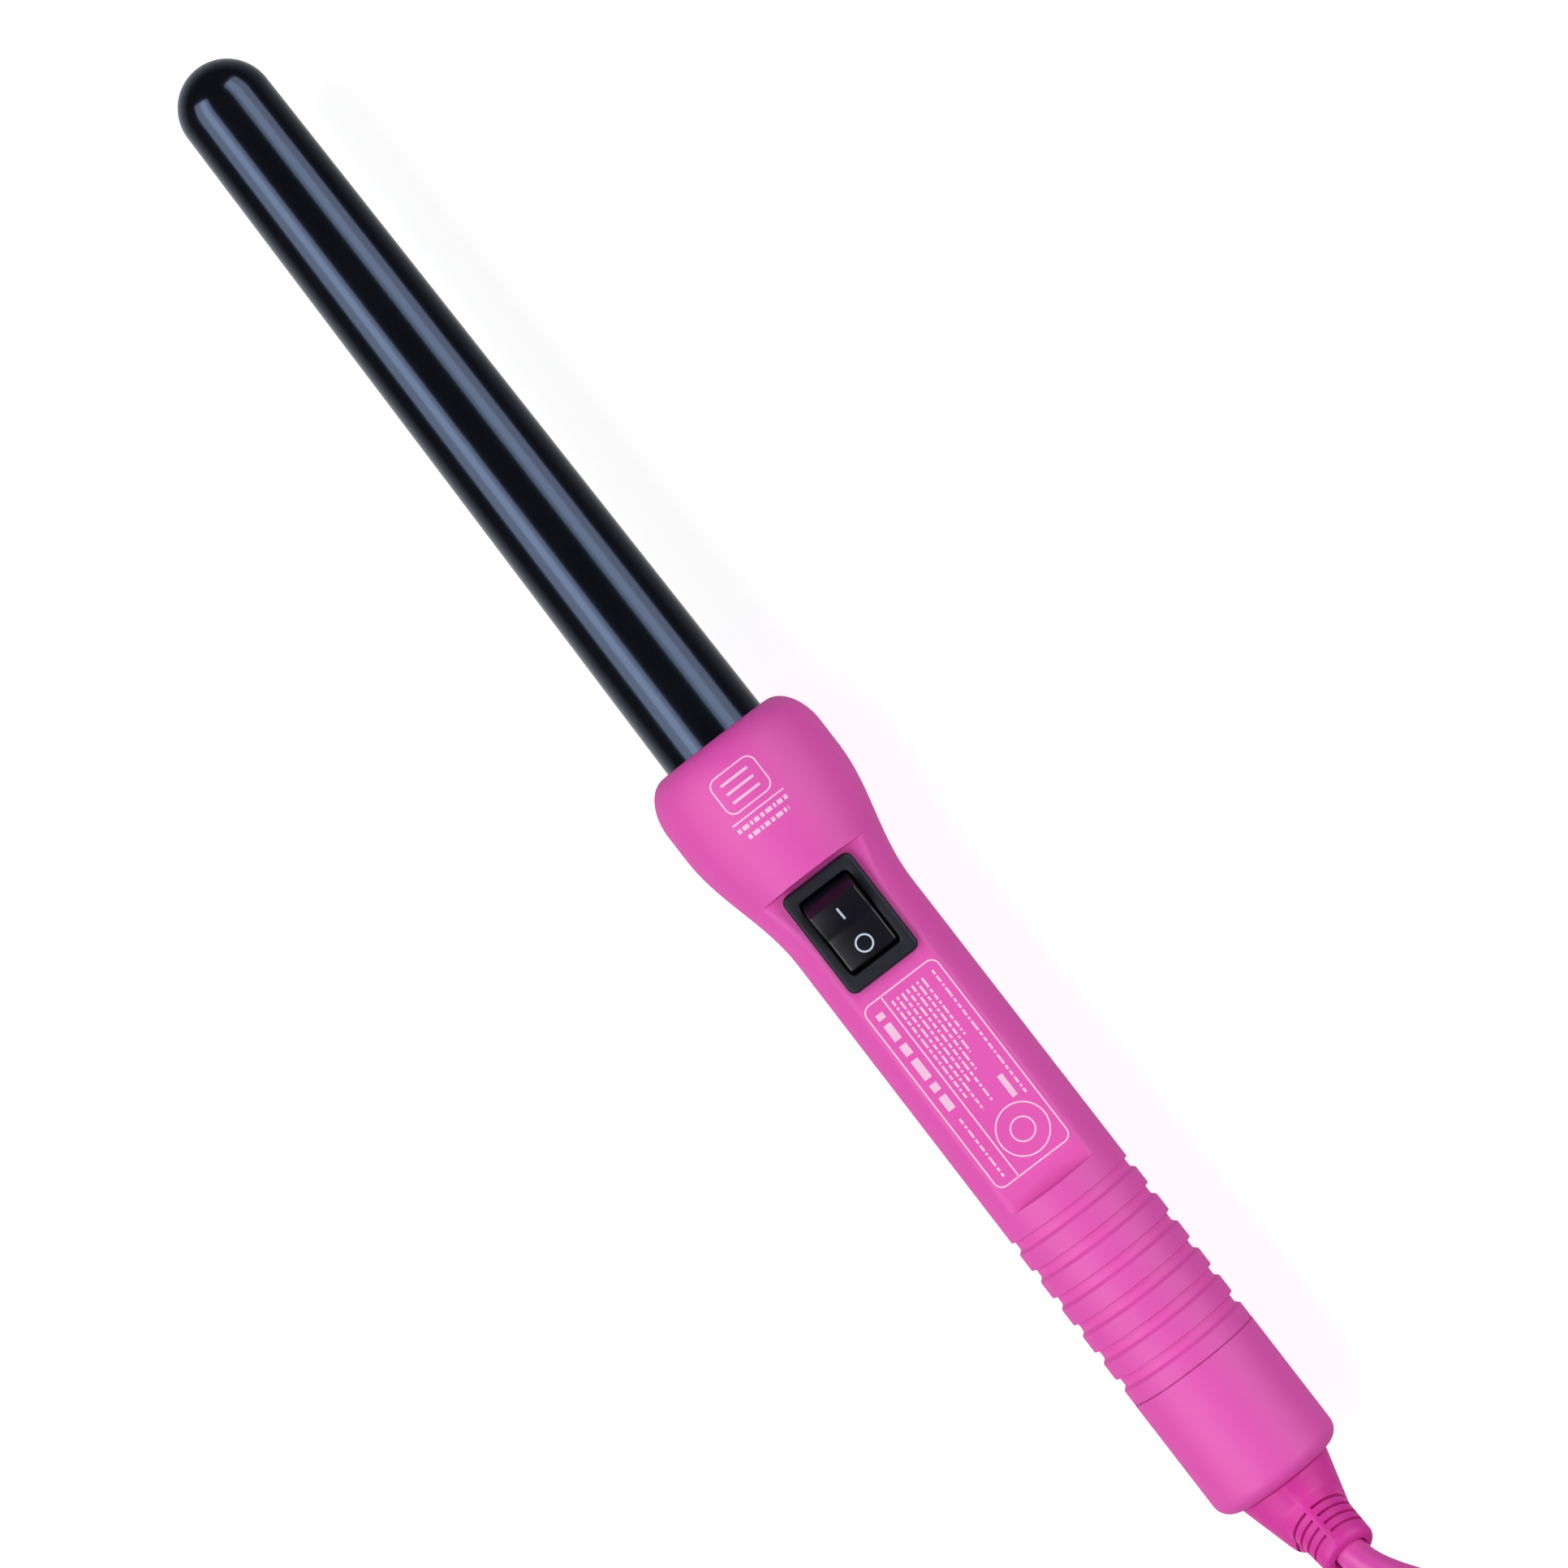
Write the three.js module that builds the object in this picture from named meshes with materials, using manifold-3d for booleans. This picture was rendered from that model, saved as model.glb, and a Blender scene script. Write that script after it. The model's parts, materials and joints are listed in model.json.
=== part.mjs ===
// A salon curling wand: a smooth black heated barrel in a soft-touch handle made of two shells,
// with a rocker switch let into a flat land, a ribbed grip, and a swivelling cord outlet.
// Millimetres. In the wand's own group X runs from the barrel's tip to the cord, Z is up out of
// the switch, and the barrel's axis is X. The whole lies on a surface, resting on the collar.
import * as THREE from 'three';
import { mergeVertices } from 'three/addons/utils/BufferGeometryUtils.js';
import Module from 'manifold-3d';

const wasm = await Module();
wasm.setup();

// Driving dimensions
const fitGap = 0.3;
const roundSides = 40;
const bodyLength = 313.4;
const farOut = 60;

const barrel = { tipRadius: 8.8, baseRadius: 10.3, wall: 1.2, end: 168 };
const collar = { rim: 149.3, rimRadius: 11.3, crownStart: 158, crownEnd: 163, radius: 16.95, restFlat: 0.35 };
const grip = { start: 190, startRadius: 12.66, endRadius: 12.76 };
const ribs = { first: 251.6, pitch: 6.04, count: 6, floor: 2.0, ramp: 2.7, crownRadius: 12.9, floorRadius: 12.15 };
const joint = { x: 287.4, spigotRadius: 11.2, spigotEnd: 297 };
const cavity = { radius: 10.5, collarRadius: 13.5, start: 151.8, end: 168.9, spigotRadius: 9.8 };
const land = { start: 178.2, end: 247.2, height: 9.5, wall: 2 };
const bezel = { start: 178.8, length: 21.15, width: 15, top: 11.3, corner: 1 };
const opening = { centre: 189.2, length: 15.85, width: 10.7, floor: -1.3 };
const frameBody = { length: 18.8, width: 12.8, bottom: -2.5 };
const rockerSize = { pivot: 8.7, width: 10.1, ridge: 6.1, ridgeHeight: 5, endRadius: 7.6, middle: 3.48, tilt: 14 };
const seesawSize = { pivotDrop: 7.9, length: 10, width: 4, thickness: 0.8, ratio: 0.45 };
const cap = { radius: 12.94, corner: 3.3, wall: 3.6, chamber: 11.5, hole: 7.8 };
const hub = { shaft: 5.2, bore: 3.4, flange: 9.3, neck: 7.4, start: 299, flangeStart: 305.4, flangeEnd: 309.4 };
const outlet = { start: 313.7, radius: 9.3, rise: 33, sideways: 8, tubeRoot: 5.75, tubeEnd: 5.45, tubeLength: 17.3 };
const screwPlaces = [208, 244, 278];
const cord = { diameter: 6, sides: 8 };
const hank = { centreX: 424.1, centreY: -5, halfRun: 45, endRadius: 27.1, waist: 15.1, height: 24.4 };
const tie = { width: 12, thickness: 1.2, clearance: 0.3, slack: 1 };
const plug = { start: 443, length: 34, width: 34, thickness: 13.7, axisHeight: 31.7, boot: 14, bootRadius: 5 };
const pins = { spacing: 19, radius: 2, length: 19 };

const axisHeight = collar.radius - collar.restFlat;

// Colours and surfaces
const surface = (color, roughness, metalness = 0) => new THREE.MeshStandardMaterial({ color, roughness, metalness });
const finishes = {
  softTouch: surface(0xe562bc, 0.55),
  enamel: surface(0x101014, 0.2, 0.2),
  slate: surface(0x3b3c48, 0.5),
  rockerBlack: surface(0x17171d, 0.3),
  cordPink: surface(0xd63aa2, 0.5),
  heatPlastic: surface(0x26221f, 0.6),
  ceramic: surface(0xe9e4d8, 0.7),
  mica: surface(0xb79a5e, 0.5),
  aluminium: surface(0xb9bcc0, 0.4, 0.9),
  steel: surface(0xc4c7cb, 0.3, 1),
  brass: surface(0xc8a04c, 0.35, 1),
  copper: surface(0xc77a4e, 0.35, 1),
  whitePlastic: surface(0xdcdcd6, 0.5),
  redSleeve: surface(0xa5362c, 0.5),
  blueSleeve: surface(0x2f5fa8, 0.5),
  brownSleeve: surface(0x6a4028, 0.5),
  strapBlack: surface(0x1b1b1e, 0.85),
};

// Solids: closed geometry to the boolean library and back
function toSolid(geometry) {
  const bare = geometry.clone();
  bare.deleteAttribute('normal');
  bare.deleteAttribute('uv');
  const merged = mergeVertices(bare, 1e-4);
  const corners = [];
  const index = merged.index.array;
  for (let i = 0; i < index.length; i += 3) {
    const [a, b, c] = [index[i], index[i + 1], index[i + 2]];
    if (a !== b && b !== c && a !== c) corners.push(a, b, c);
  }
  const places = new Float32Array(merged.attributes.position.array);
  return new wasm.Manifold(new wasm.Mesh({ numProp: 3, vertProperties: places, triVerts: new Uint32Array(corners) }));
}

function toGeometry(solid) {
  const mesh = solid.getMesh();
  const geometry = new THREE.BufferGeometry();
  geometry.setAttribute('position', new THREE.BufferAttribute(new Float32Array(mesh.vertProperties), 3));
  geometry.setIndex(new THREE.BufferAttribute(new Uint32Array(mesh.triVerts), 1));
  return geometry;
}

const cut = (base, tools) => tools.reduce((left, tool) => left.subtract(toSolid(tool)), base);
const join = (base, extras) => extras.reduce((whole, extra) => whole.add(toSolid(extra)), base);

// A profile of [x, radius] points, from the tip end to the cord end, turned about the X axis.
// Its flat sides, not its corners, lie at the stated radius, and one of them faces straight down.
function turned(profile, sides = roundSides) {
  const grow = 1 / Math.cos(Math.PI / sides);
  const points = profile.map(([x, radius]) => new THREE.Vector2(radius * grow, x));
  if (profile[0][1] > 0) points.push(points[0].clone());
  return new THREE.LatheGeometry(points, sides, Math.PI / sides, 2 * Math.PI).rotateZ(-Math.PI / 2);
}

const rod = (from, to, radius, sides) => turned([[from, 0], [from, radius], [to, radius], [to, 0]], sides);
const ring = (from, to, inner, outer, sides) =>
  turned([[from, inner], [from, outer], [to, outer], [to, inner]], sides);

function block([x0, x1], [y0, y1], [z0, z1]) {
  const box = new THREE.BoxGeometry(x1 - x0, y1 - y0, z1 - z0);
  return box.translate((x0 + x1) / 2, (y0 + y1) / 2, (z0 + z1) / 2);
}

// A round post standing along Z
function post(x, y, [z0, z1], radius, sides = 16) {
  const height = z1 - z0;
  return new THREE.CylinderGeometry(radius, radius, height, sides).rotateX(Math.PI / 2)
    .translate(x, y, (z0 + z1) / 2);
}

// A round cord or wire along a smooth curve through the points
function along(points, radius, steps, sides = 8) {
  const section = new THREE.Shape(
    Array.from({ length: sides }, (_, i) => {
      const turn = (2 * Math.PI * (i + 0.5)) / sides;
      return new THREE.Vector2(radius * Math.cos(turn), radius * Math.sin(turn));
    }),
  );
  const path = new THREE.CatmullRomCurve3(points.map((point) => new THREE.Vector3(...point)), false, 'centripetal');
  return new THREE.ExtrudeGeometry(section, { steps, extrudePath: path, curveSegments: 1 });
}

// A rectangle with round corners, centred, standing up along Z
function roundedPlate(length, width, corner, [z0, z1]) {
  const [halfX, halfY] = [length / 2, width / 2];
  const outline = new THREE.Shape();
  outline.absarc(halfX - corner, halfY - corner, corner, 0, Math.PI / 2);
  outline.absarc(corner - halfX, halfY - corner, corner, Math.PI / 2, Math.PI);
  outline.absarc(corner - halfX, corner - halfY, corner, Math.PI, 1.5 * Math.PI);
  outline.absarc(halfX - corner, corner - halfY, corner, 1.5 * Math.PI, 2 * Math.PI);
  return new THREE.ExtrudeGeometry(outline, { depth: z1 - z0, bevelEnabled: false, curveSegments: 4 })
    .translate(0, 0, z0);
}

const wand = new THREE.Group();
wand.position.set(-bodyLength / 2, 0, axisHeight);

function place(name, geometry, material, parent = wand) {
  const mesh = new THREE.Mesh(geometry, material);
  mesh.name = name;
  parent.add(mesh);
  return mesh;
}

// Barrel: a drawn tube with a hemispherical end, open inside the handle
function addBarrel() {
  const { tipRadius, baseRadius, wall, end } = barrel;
  const dome = (radius, from) => Array.from({ length: 7 }, (_, i) => {
    const turn = (i / 6) * (Math.PI / 2);
    return [from + radius * (1 - Math.cos(turn)), radius * Math.sin(turn)];
  });
  const outside = [...dome(tipRadius, 0), [collar.rim, baseRadius], [end, baseRadius]];
  const inside = [...dome(tipRadius - wall, wall), [collar.rim, baseRadius - wall], [end, baseRadius - wall]];
  place('barrel', turned([...outside, ...inside.reverse()]), finishes.enamel);
}

// Heating: a flat heater clamped between two half-round blocks pressed against the barrel
function addHeater() {
  const [blockStart, blockEnd, blockRadius, blockFace] = [36, 132, 7.2, 1.8];
  const blockRod = () => toSolid(rod(blockStart, blockEnd, blockRadius, 24));
  const wide = [-farOut, farOut];
  const notUpper = block([0, bodyLength], wide, [-farOut, blockFace]);
  const notLower = block([0, bodyLength], wide, [-blockFace, farOut]);
  place('heater_block_upper', toGeometry(cut(blockRod(), [notUpper])), finishes.aluminium);
  place('heater_block_lower', toGeometry(cut(blockRod(), [notLower])), finishes.aluminium);
  place('ptc_heater', block([40, 128], [-5.5, 5.5], [-1.5, 1.5]), finishes.ceramic);
  place('heater_spring', block([90, 120], [-2, 2], [7.55, 7.95]), finishes.steel);
  const fuse = rod(-5.5, 5.5, 1.9, 12).translate(146, 3.5, 3.2);
  place('thermal_fuse', fuse, finishes.whitePlastic);
}

// Barrel socket: a heat-resistant cup and a mica washer that carry the barrel in the collar
function addSocket() {
  const [inner, outer, hole, floorStart, floorEnd] = [10.6, 13.2, 6.5, 169.3, 171.2];
  const cup = [[152.2, inner], [152.2, outer], [floorEnd - 2, outer], [floorEnd, outer - 0.8],
    [floorEnd, hole], [floorStart, hole], [floorStart, inner]];
  place('barrel_socket', turned(cup), finishes.heatPlastic);
  place('mica_washer', ring(barrel.end + fitGap, barrel.end + 1, hole + 0.5, inner - fitGap), finishes.mica);
}

// Outside of the two shells together, from the collar's rim to the spigot for the end cap
function shellOutline() {
  const shoulder = Array.from({ length: 7 }, (_, i) => {
    const turn = (i / 6) * (Math.PI / 2);
    const rise = collar.radius - collar.rimRadius;
    const x = collar.crownStart - (collar.crownStart - collar.rim) * Math.cos(turn);
    return [x, collar.rimRadius + rise * Math.sin(turn)];
  });
  const slope = Array.from({ length: 8 }, (_, i) => {
    const share = i / 7;
    const drop = (collar.radius - grip.startRadius) * (1 - Math.cos(Math.PI * share)) / 2;
    return [collar.crownEnd + share * (grip.start - collar.crownEnd), collar.radius - drop];
  });
  const grooves = Array.from({ length: ribs.count }, (_, i) => {
    const x = ribs.first + i * ribs.pitch;
    const before = i ? ribs.crownRadius : grip.endRadius;
    return [[x, before], [x + 0.1, ribs.floorRadius], [x + ribs.floor, ribs.floorRadius],
      [x + ribs.ramp, ribs.crownRadius]];
  }).flat();
  return [...shoulder, ...slope, ...grooves, [joint.x, ribs.crownRadius],
    [joint.x, joint.spigotRadius], [joint.spigotEnd, joint.spigotRadius]];
}

function hollowShells() {
  const outside = shellOutline();
  const whole = [[collar.rim, 0], ...outside, [joint.spigotEnd, 0]];
  const mouth = barrel.baseRadius + 0.35;
  const inside = [[collar.rim - 1, 0], [collar.rim - 1, mouth], [cavity.start, mouth],
    [cavity.start, cavity.collarRadius], [cavity.end, cavity.collarRadius], [171.6, 12.9], [178, 12.1],
    [184, 10.9], [190, cavity.radius], [284, cavity.radius], [286, cavity.spigotRadius],
    [joint.spigotEnd + 1, cavity.spigotRadius], [joint.spigotEnd + 1, 0]];
  const aboveLand = block([land.start, land.end], [-farOut, farOut], [land.height, farOut]);
  const underLand = block([land.start - land.wall, land.end + land.wall], [-farOut, farOut],
    [land.height - land.wall, farOut]);
  const underRest = block([0, bodyLength], [-farOut, farOut], [-farOut, -axisHeight]);
  const room = cut(toSolid(turned(inside)), [underLand]);
  return cut(toSolid(turned(whole)), [aboveLand, underRest]).subtract(room);
}

// Two shells, parted along the sides and held by three screws driven from the back
function addShells() {
  const shells = hollowShells();
  const parting = fitGap / 2;
  const all = [-farOut, 2 * bodyLength];
  const side = [-farOut, farOut];
  const [landBoss, ribBoss] = [land.height - 1, cavity.radius + 1];
  const frontBosses = screwPlaces.map((x) => post(x, 0, [fitGap, x > land.end ? ribBoss : landBoss], 3.2));
  const pilots = screwPlaces.map((x) => post(x, 0, [-farOut, 6.5], 1.5));
  const switchHole = block(
    [bezel.start + (bezel.length - frameBody.length) / 2 - fitGap, bezel.start + bezel.length
      - (bezel.length - frameBody.length) / 2 + fitGap],
    [-frameBody.width / 2 - fitGap, frameBody.width / 2 + fitGap], [0, farOut]);
  const upper = cut(shells, [block(all, side, [-farOut, parting])]);
  place('front_shell', toGeometry(cut(join(upper, frontBosses), [...pilots, switchHole])), finishes.softTouch);

  const headRoom = [-farOut, -7.7];
  const rearBosses = screwPlaces.map((x) => post(x, 0, [-cavity.radius - 1, -fitGap], 3.9));
  const counterbores = screwPlaces.map((x) => post(x, 0, headRoom, 2.9));
  const clearances = screwPlaces.map((x) => post(x, 0, [-farOut, farOut], 1.6));
  const lower = cut(shells, [block(all, side, [-parting, farOut])]);
  place('rear_shell', toGeometry(cut(join(lower, rearBosses), [...counterbores, ...clearances])), finishes.softTouch);

  screwPlaces.forEach((x, i) => {
    const shank = toSolid(post(x, 0, [-8.2, 5.5], 1.2, 12));
    place(`screw_${i + 1}`, toGeometry(join(shank, [post(x, 0, [-10.2, -8], 2.6, 12)])), finishes.steel);
  });
}

// Switch frame: a bezel on the land and a box that drops through it
function addSwitchFrame() {
  const centre = bezel.start + bezel.length / 2;
  const seat = land.height + fitGap;
  const plate = roundedPlate(bezel.length, bezel.width, bezel.corner, [seat, bezel.top]).translate(centre, 0, 0);
  const half = frameBody.width / 2;
  const box = block([centre - frameBody.length / 2, centre + frameBody.length / 2], [-half, half],
    [frameBody.bottom, seat + 0.5]);
  const { length, width, floor } = opening;
  const well = block([opening.centre - length / 2, opening.centre + length / 2], [-width / 2, width / 2],
    [floor, farOut]);
  const pivotHole = post(0, 0, [-half - 1, half + 1], 1.3, 12).rotateX(Math.PI / 2)
    .translate(opening.centre, 0, rockerSize.pivot);
  const slots = [0, 4.5].map((x) => block([opening.centre + x - 0.8, opening.centre + x + 0.8], [-2.8, 2.8],
    [frameBody.bottom - 1, floor + 1]));
  place('switch_frame', toGeometry(cut(join(toSolid(plate), [box]), [well, pivotHole, ...slots])), finishes.slate);
}

// Everything that swings with the rocker is drawn about its pivot, and stands tilted to OFF
const pivotGroup = new THREE.Group();
pivotGroup.position.set(opening.centre, 0, rockerSize.pivot);
pivotGroup.rotation.y = THREE.MathUtils.degToRad(rockerSize.tilt);
wand.add(pivotGroup);

function addRocker() {
  const { ridge, ridgeHeight, endRadius, middle, width } = rockerSize;
  const [topTurn, bottomTurn] = [0.56, 0.32];
  const outline = new THREE.Shape();
  outline.moveTo(-ridge, ridgeHeight);
  outline.absarc(0, 0, endRadius, Math.PI - topTurn, Math.PI + bottomTurn, false);
  outline.absarc(0, 0, endRadius, -bottomTurn, topTurn, false);
  outline.lineTo(ridge, ridgeHeight);
  outline.lineTo(0, middle);
  const paddle = new THREE.ExtrudeGeometry(outline, { depth: width, bevelEnabled: false, curveSegments: 6 })
    .rotateX(Math.PI / 2).translate(0, width / 2, 0);
  const trunnions = post(0, 0, [-6.1, 6.1], 1, 12).rotateX(Math.PI / 2);
  const foot = block([-2.4, 2.4], [-2.4, 2.4], [-4.5, 0]);
  const bore = post(0, 0, [-9, 1], 1.5, 12);
  const body = cut(join(toSolid(paddle), [trunnions, foot]), [bore]);
  place('rocker', toGeometry(body), finishes.rockerBlack, pivotGroup);
  place('rocker_plunger', new THREE.CapsuleGeometry(1.15, 1.3, 3, 12).rotateX(Math.PI / 2).translate(0, 0, -4.7),
    finishes.whitePlastic, pivotGroup);
  const turns = 4;
  const coil = Array.from({ length: turns * 8 + 1 }, (_, i) => {
    const turn = (i / 8) * 2 * Math.PI;
    return [0.9 * Math.cos(turn), 0.9 * Math.sin(turn), -2.4 + (i / (turns * 8)) * 3];
  });
  place('plunger_spring', along(coil, 0.2, turns * 8, 5), finishes.steel, pivotGroup);
}

// The seesaw contact rocks the other way under the plunger, over the common terminal
function addContacts() {
  const rockerPivot = [opening.centre, 0, rockerSize.pivot];
  const { pivotDrop, length, width, thickness, ratio } = seesawSize;
  const seesaw = new THREE.Group();
  seesaw.position.set(rockerPivot[0], 0, rockerPivot[2] - pivotDrop);
  seesaw.rotation.y = -THREE.MathUtils.degToRad(rockerSize.tilt * ratio);
  wand.add(seesaw);
  place('contact_seesaw', block([-length / 2, length / 2], [-width / 2, width / 2], [0.3, 0.3 + thickness]),
    finishes.copper, seesaw);

  const tabBottom = -8.5;
  const terminal = (x, padTop, padHalf) => {
    const foot = opening.floor + 0.3;
    const pad = toSolid(block([x - padHalf, x + padHalf], [-2, 2], [foot, padTop]));
    return toGeometry(join(pad, [block([x - 0.4, x + 0.4], [-2.4, 2.4], [tabBottom, foot + 0.2])]));
  };
  place('terminal_common', terminal(opening.centre, rockerSize.pivot - 8.2, 0.8), finishes.brass);
  place('terminal_load', terminal(opening.centre + 4.5, rockerSize.pivot - 8.45, 0.9), finishes.brass);
}

// Wiring: the neutral runs straight to the heater, the live passes the switch and the fuse
function addWires() {
  const wireRadius = 1;
  const neutral = [[296.9, -5.5, -5.5], [240, -5.5, -5.5], [190, -5.5, -5.5], [176, -4.5, -4], [160, -3.5, -2.5],
    [133, -3, -2.5]];
  const liveIn = [[296.9, 5.5, -5.5], [240, 5.5, -5.5], [206, 5.5, -5.5], [198, 4.8, -6], [194.5, 4.2, -6.5]];
  const liveOut = [[188.6, 4.2, -6.5], [185, 4.8, -6], [176, 4.5, -4], [164, 3.8, 1], [152, 3.5, 3.2]];
  const fuseTail = [[140, 3.5, 3.2], [136, 3.2, 1], [133, 3, 0.6]];
  place('neutral_wire', along(neutral, wireRadius, 26), finishes.blueSleeve);
  place('live_wire_in', along(liveIn, wireRadius, 20), finishes.brownSleeve);
  place('live_wire_out', along(liveOut, wireRadius, 12), finishes.redSleeve);
  place('fuse_wire', along(fuseTail, 0.8, 4), finishes.redSleeve);
}

// End cap: a cup over the shells' spigot, which traps the swivel's flange
function addEndCap() {
  const { radius, corner, wall, chamber, hole } = cap;
  const rounding = Array.from({ length: 5 }, (_, i) => {
    const turn = (i / 4) * (Math.PI / 2);
    return [bodyLength - corner * (1 - Math.sin(turn)), radius - corner * (1 - Math.cos(turn))];
  });
  const start = joint.x + fitGap;
  place('end_cap', turned([[start, chamber], [start, radius - 0.1], ...rounding, [bodyLength, hole],
    [bodyLength - wall, hole], [bodyLength - wall, chamber]]), finishes.softTouch);
}

// Swivel: a hub with two contact rings turns inside a fixed holder with two sprung brushes
function addSwivel() {
  const { shaft, bore, flange, neck, start, flangeStart, flangeEnd } = hub;
  const [holderStart, holderFloor, holderEnd, holderInner] = [297.4, 298.6, 305.1, 8.6];
  place('brush_holder', turned([[holderStart, 0], [holderStart, joint.spigotRadius], [holderEnd, joint.spigotRadius],
    [holderEnd, holderInner], [holderFloor, holderInner], [holderFloor, 0]], 32), finishes.whitePlastic);
  place('swivel_hub', turned([[start, bore], [start, shaft], [flangeStart, shaft], [flangeStart, flange],
    [flangeEnd, flange], [flangeEnd, neck], [bodyLength, neck], [bodyLength, bore]], 32), finishes.heatPlastic);
  const ringPlaces = [['live', 300, 1], ['neutral', 302.8, -1]];
  for (const [name, x, sideways] of ringPlaces) {
    place(`contact_ring_${name}`, ring(x, x + 1.6, shaft + 0.3, 6.6, 32), finishes.brass);
    const reach = [6.95, 8.3].map((y) => y * sideways).sort((a, b) => a - b);
    place(`brush_${name}`, block([x + 0.1, x + 1.5], reach, [-1.3, 1.3]), finishes.copper);
  }
}

// Strain relief: a cone on the cap's end with a slanting sleeve for the cord, in one moulding
const rise = THREE.MathUtils.degToRad(outlet.rise);
const sideways = THREE.MathUtils.degToRad(outlet.sideways);
const sleeveWay = new THREE.Vector3(Math.cos(rise) * Math.cos(sideways), Math.cos(rise) * Math.sin(sideways),
  Math.sin(rise));
const sleeveFoot = new THREE.Vector3(315.8, 0, 0);

function addStrainRelief() {
  const rootRadius = hub.bore - fitGap;
  const cone = turned([[303, 0], [303, rootRadius], [outlet.start, rootRadius], [outlet.start, outlet.radius],
    [324, 6.5], [325.7, 5.8], [326.7, 4.6], [327.1, 3], [327.1, 0]], 24);
  const { tubeRoot, tubeEnd, tubeLength } = outlet;
  const sleeve = new THREE.CylinderGeometry(tubeEnd, tubeRoot, tubeLength - 4, 24)
    .translate(0, tubeLength / 2 + 2, 0);
  const turn = new THREE.Quaternion().setFromUnitVectors(new THREE.Vector3(0, 1, 0), sleeveWay);
  sleeve.applyQuaternion(turn).translate(...sleeveFoot);
  place('strain_relief', toGeometry(join(toSolid(cone), [sleeve])), finishes.cordPink);
}

// Cord: points are [x from the tip, y, height above the surface]
const leadRoute = [[331.4, 2.3, 27.1], [334, 3.4, 28.6], [337, 5.3, 30], [340.2, 7.7, 31.2], [343.3, 10.2, 31.9],
  [346.4, 12.6, 32.2], [349.7, 14.8, 31.9], [353.3, 16.6, 31.3], [357.1, 17.9, 30.4], [361, 18.7, 29.5],
  [365, 19.1, 28.7], [368.9, 19.3, 28.1], [372.8, 19.3, 27.8], [376.8, 19.2, 27.7], [380.8, 19.1, 27.7]];
const tailRoute = [[403, 4.8, 27.8], [408, 2.2, 28.7], [413, -0.4, 29.9], [418, -2.9, 31], [423, -4.6, 31.6],
  [428.4, -5, 31.7]];
const aboveFloor = ([x, y, height]) => [x, y, height - axisHeight];

function hankOutline(grow) {
  const { halfRun, endRadius, waist } = hank;
  const outline = new THREE.Shape();
  const runSteps = 12;
  const runY = (x) => waist + ((endRadius - waist) * (1 - Math.cos((Math.PI * x) / halfRun))) / 2 + grow;
  outline.absarc(halfRun, 0, endRadius + grow, -Math.PI / 2, Math.PI / 2, false);
  for (let i = 1; i < runSteps; i += 1) {
    const x = halfRun * (1 - (2 * i) / runSteps);
    outline.lineTo(x, runY(x));
  }
  outline.absarc(-halfRun, 0, endRadius + grow, Math.PI / 2, 1.5 * Math.PI, false);
  for (let i = 1; i < runSteps; i += 1) {
    const x = halfRun * ((2 * i) / runSteps - 1);
    outline.lineTo(x, -runY(x));
  }
  return outline;
}

function addCord() {
  const radius = cord.diameter / 2;
  place('cord_lead', along(leadRoute.map(aboveFloor), radius, 26, cord.sides), finishes.cordPink);
  place('cord_tail', along(tailRoute.map(aboveFloor), radius, 10, cord.sides), finishes.cordPink);
  const bundle = new THREE.ExtrudeGeometry(hankOutline(0), { depth: hank.height, bevelEnabled: false, curveSegments: 14 });
  const groove = tie.thickness + tie.clearance;
  const halfTie = tie.width / 2 + tie.clearance;
  const under = block([-halfTie, halfTie], [-farOut, farOut], [-1, groove]);
  place('cord_hank', toGeometry(cut(toSolid(bundle), [under])), finishes.cordPink)
    .position.set(hank.centreX, hank.centreY, -axisHeight);

  const innerHalf = hank.waist + tie.slack;
  const innerTop = hank.height + 2 * tie.clearance;
  const outerHalf = innerHalf + tie.thickness;
  const loop = toSolid(block([-tie.width / 2, tie.width / 2], [-outerHalf, outerHalf], [0, innerTop + tie.thickness]));
  const inside = block([-tie.width, tie.width], [-innerHalf, innerHalf], [tie.thickness, innerTop]);
  place('cord_tie', toGeometry(cut(loop, [inside])), finishes.strapBlack)
    .position.set(hank.centreX, hank.centreY, -axisHeight);
}

// Mains plug: a flat two-pin plug lying on top of the hank
function addPlug() {
  const group = new THREE.Group();
  group.position.set(plug.start, hank.centreY, plug.axisHeight - axisHeight);
  wand.add(group);
  const half = plug.thickness / 2;
  const body = roundedPlate(plug.length, plug.width, 6, [-half, half]).translate(plug.length / 2, 0, 0);
  const boot = rod(-plug.boot, 1, plug.bootRadius, 16);
  place('plug_body', toGeometry(join(toSolid(body), [boot])), finishes.cordPink, group);
  for (const [name, way] of [['left', -1], ['right', 1]]) {
    const start = plug.length + fitGap;
    const pin = rod(start, start + pins.length, pins.radius, 12).translate(0, (way * pins.spacing) / 2, 0);
    place(`plug_pin_${name}`, pin, finishes.brass, group);
  }
}

addBarrel();
addHeater();
addSocket();
addShells();
addSwitchFrame();
addRocker();
addContacts();
addWires();
addEndCap();
addSwivel();
addStrainRelief();
addCord();
addPlug();

export default wand;
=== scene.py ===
import json
import math

import bmesh
import bpy
import numpy as np
from mathutils import Matrix, Vector, geometry


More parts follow.
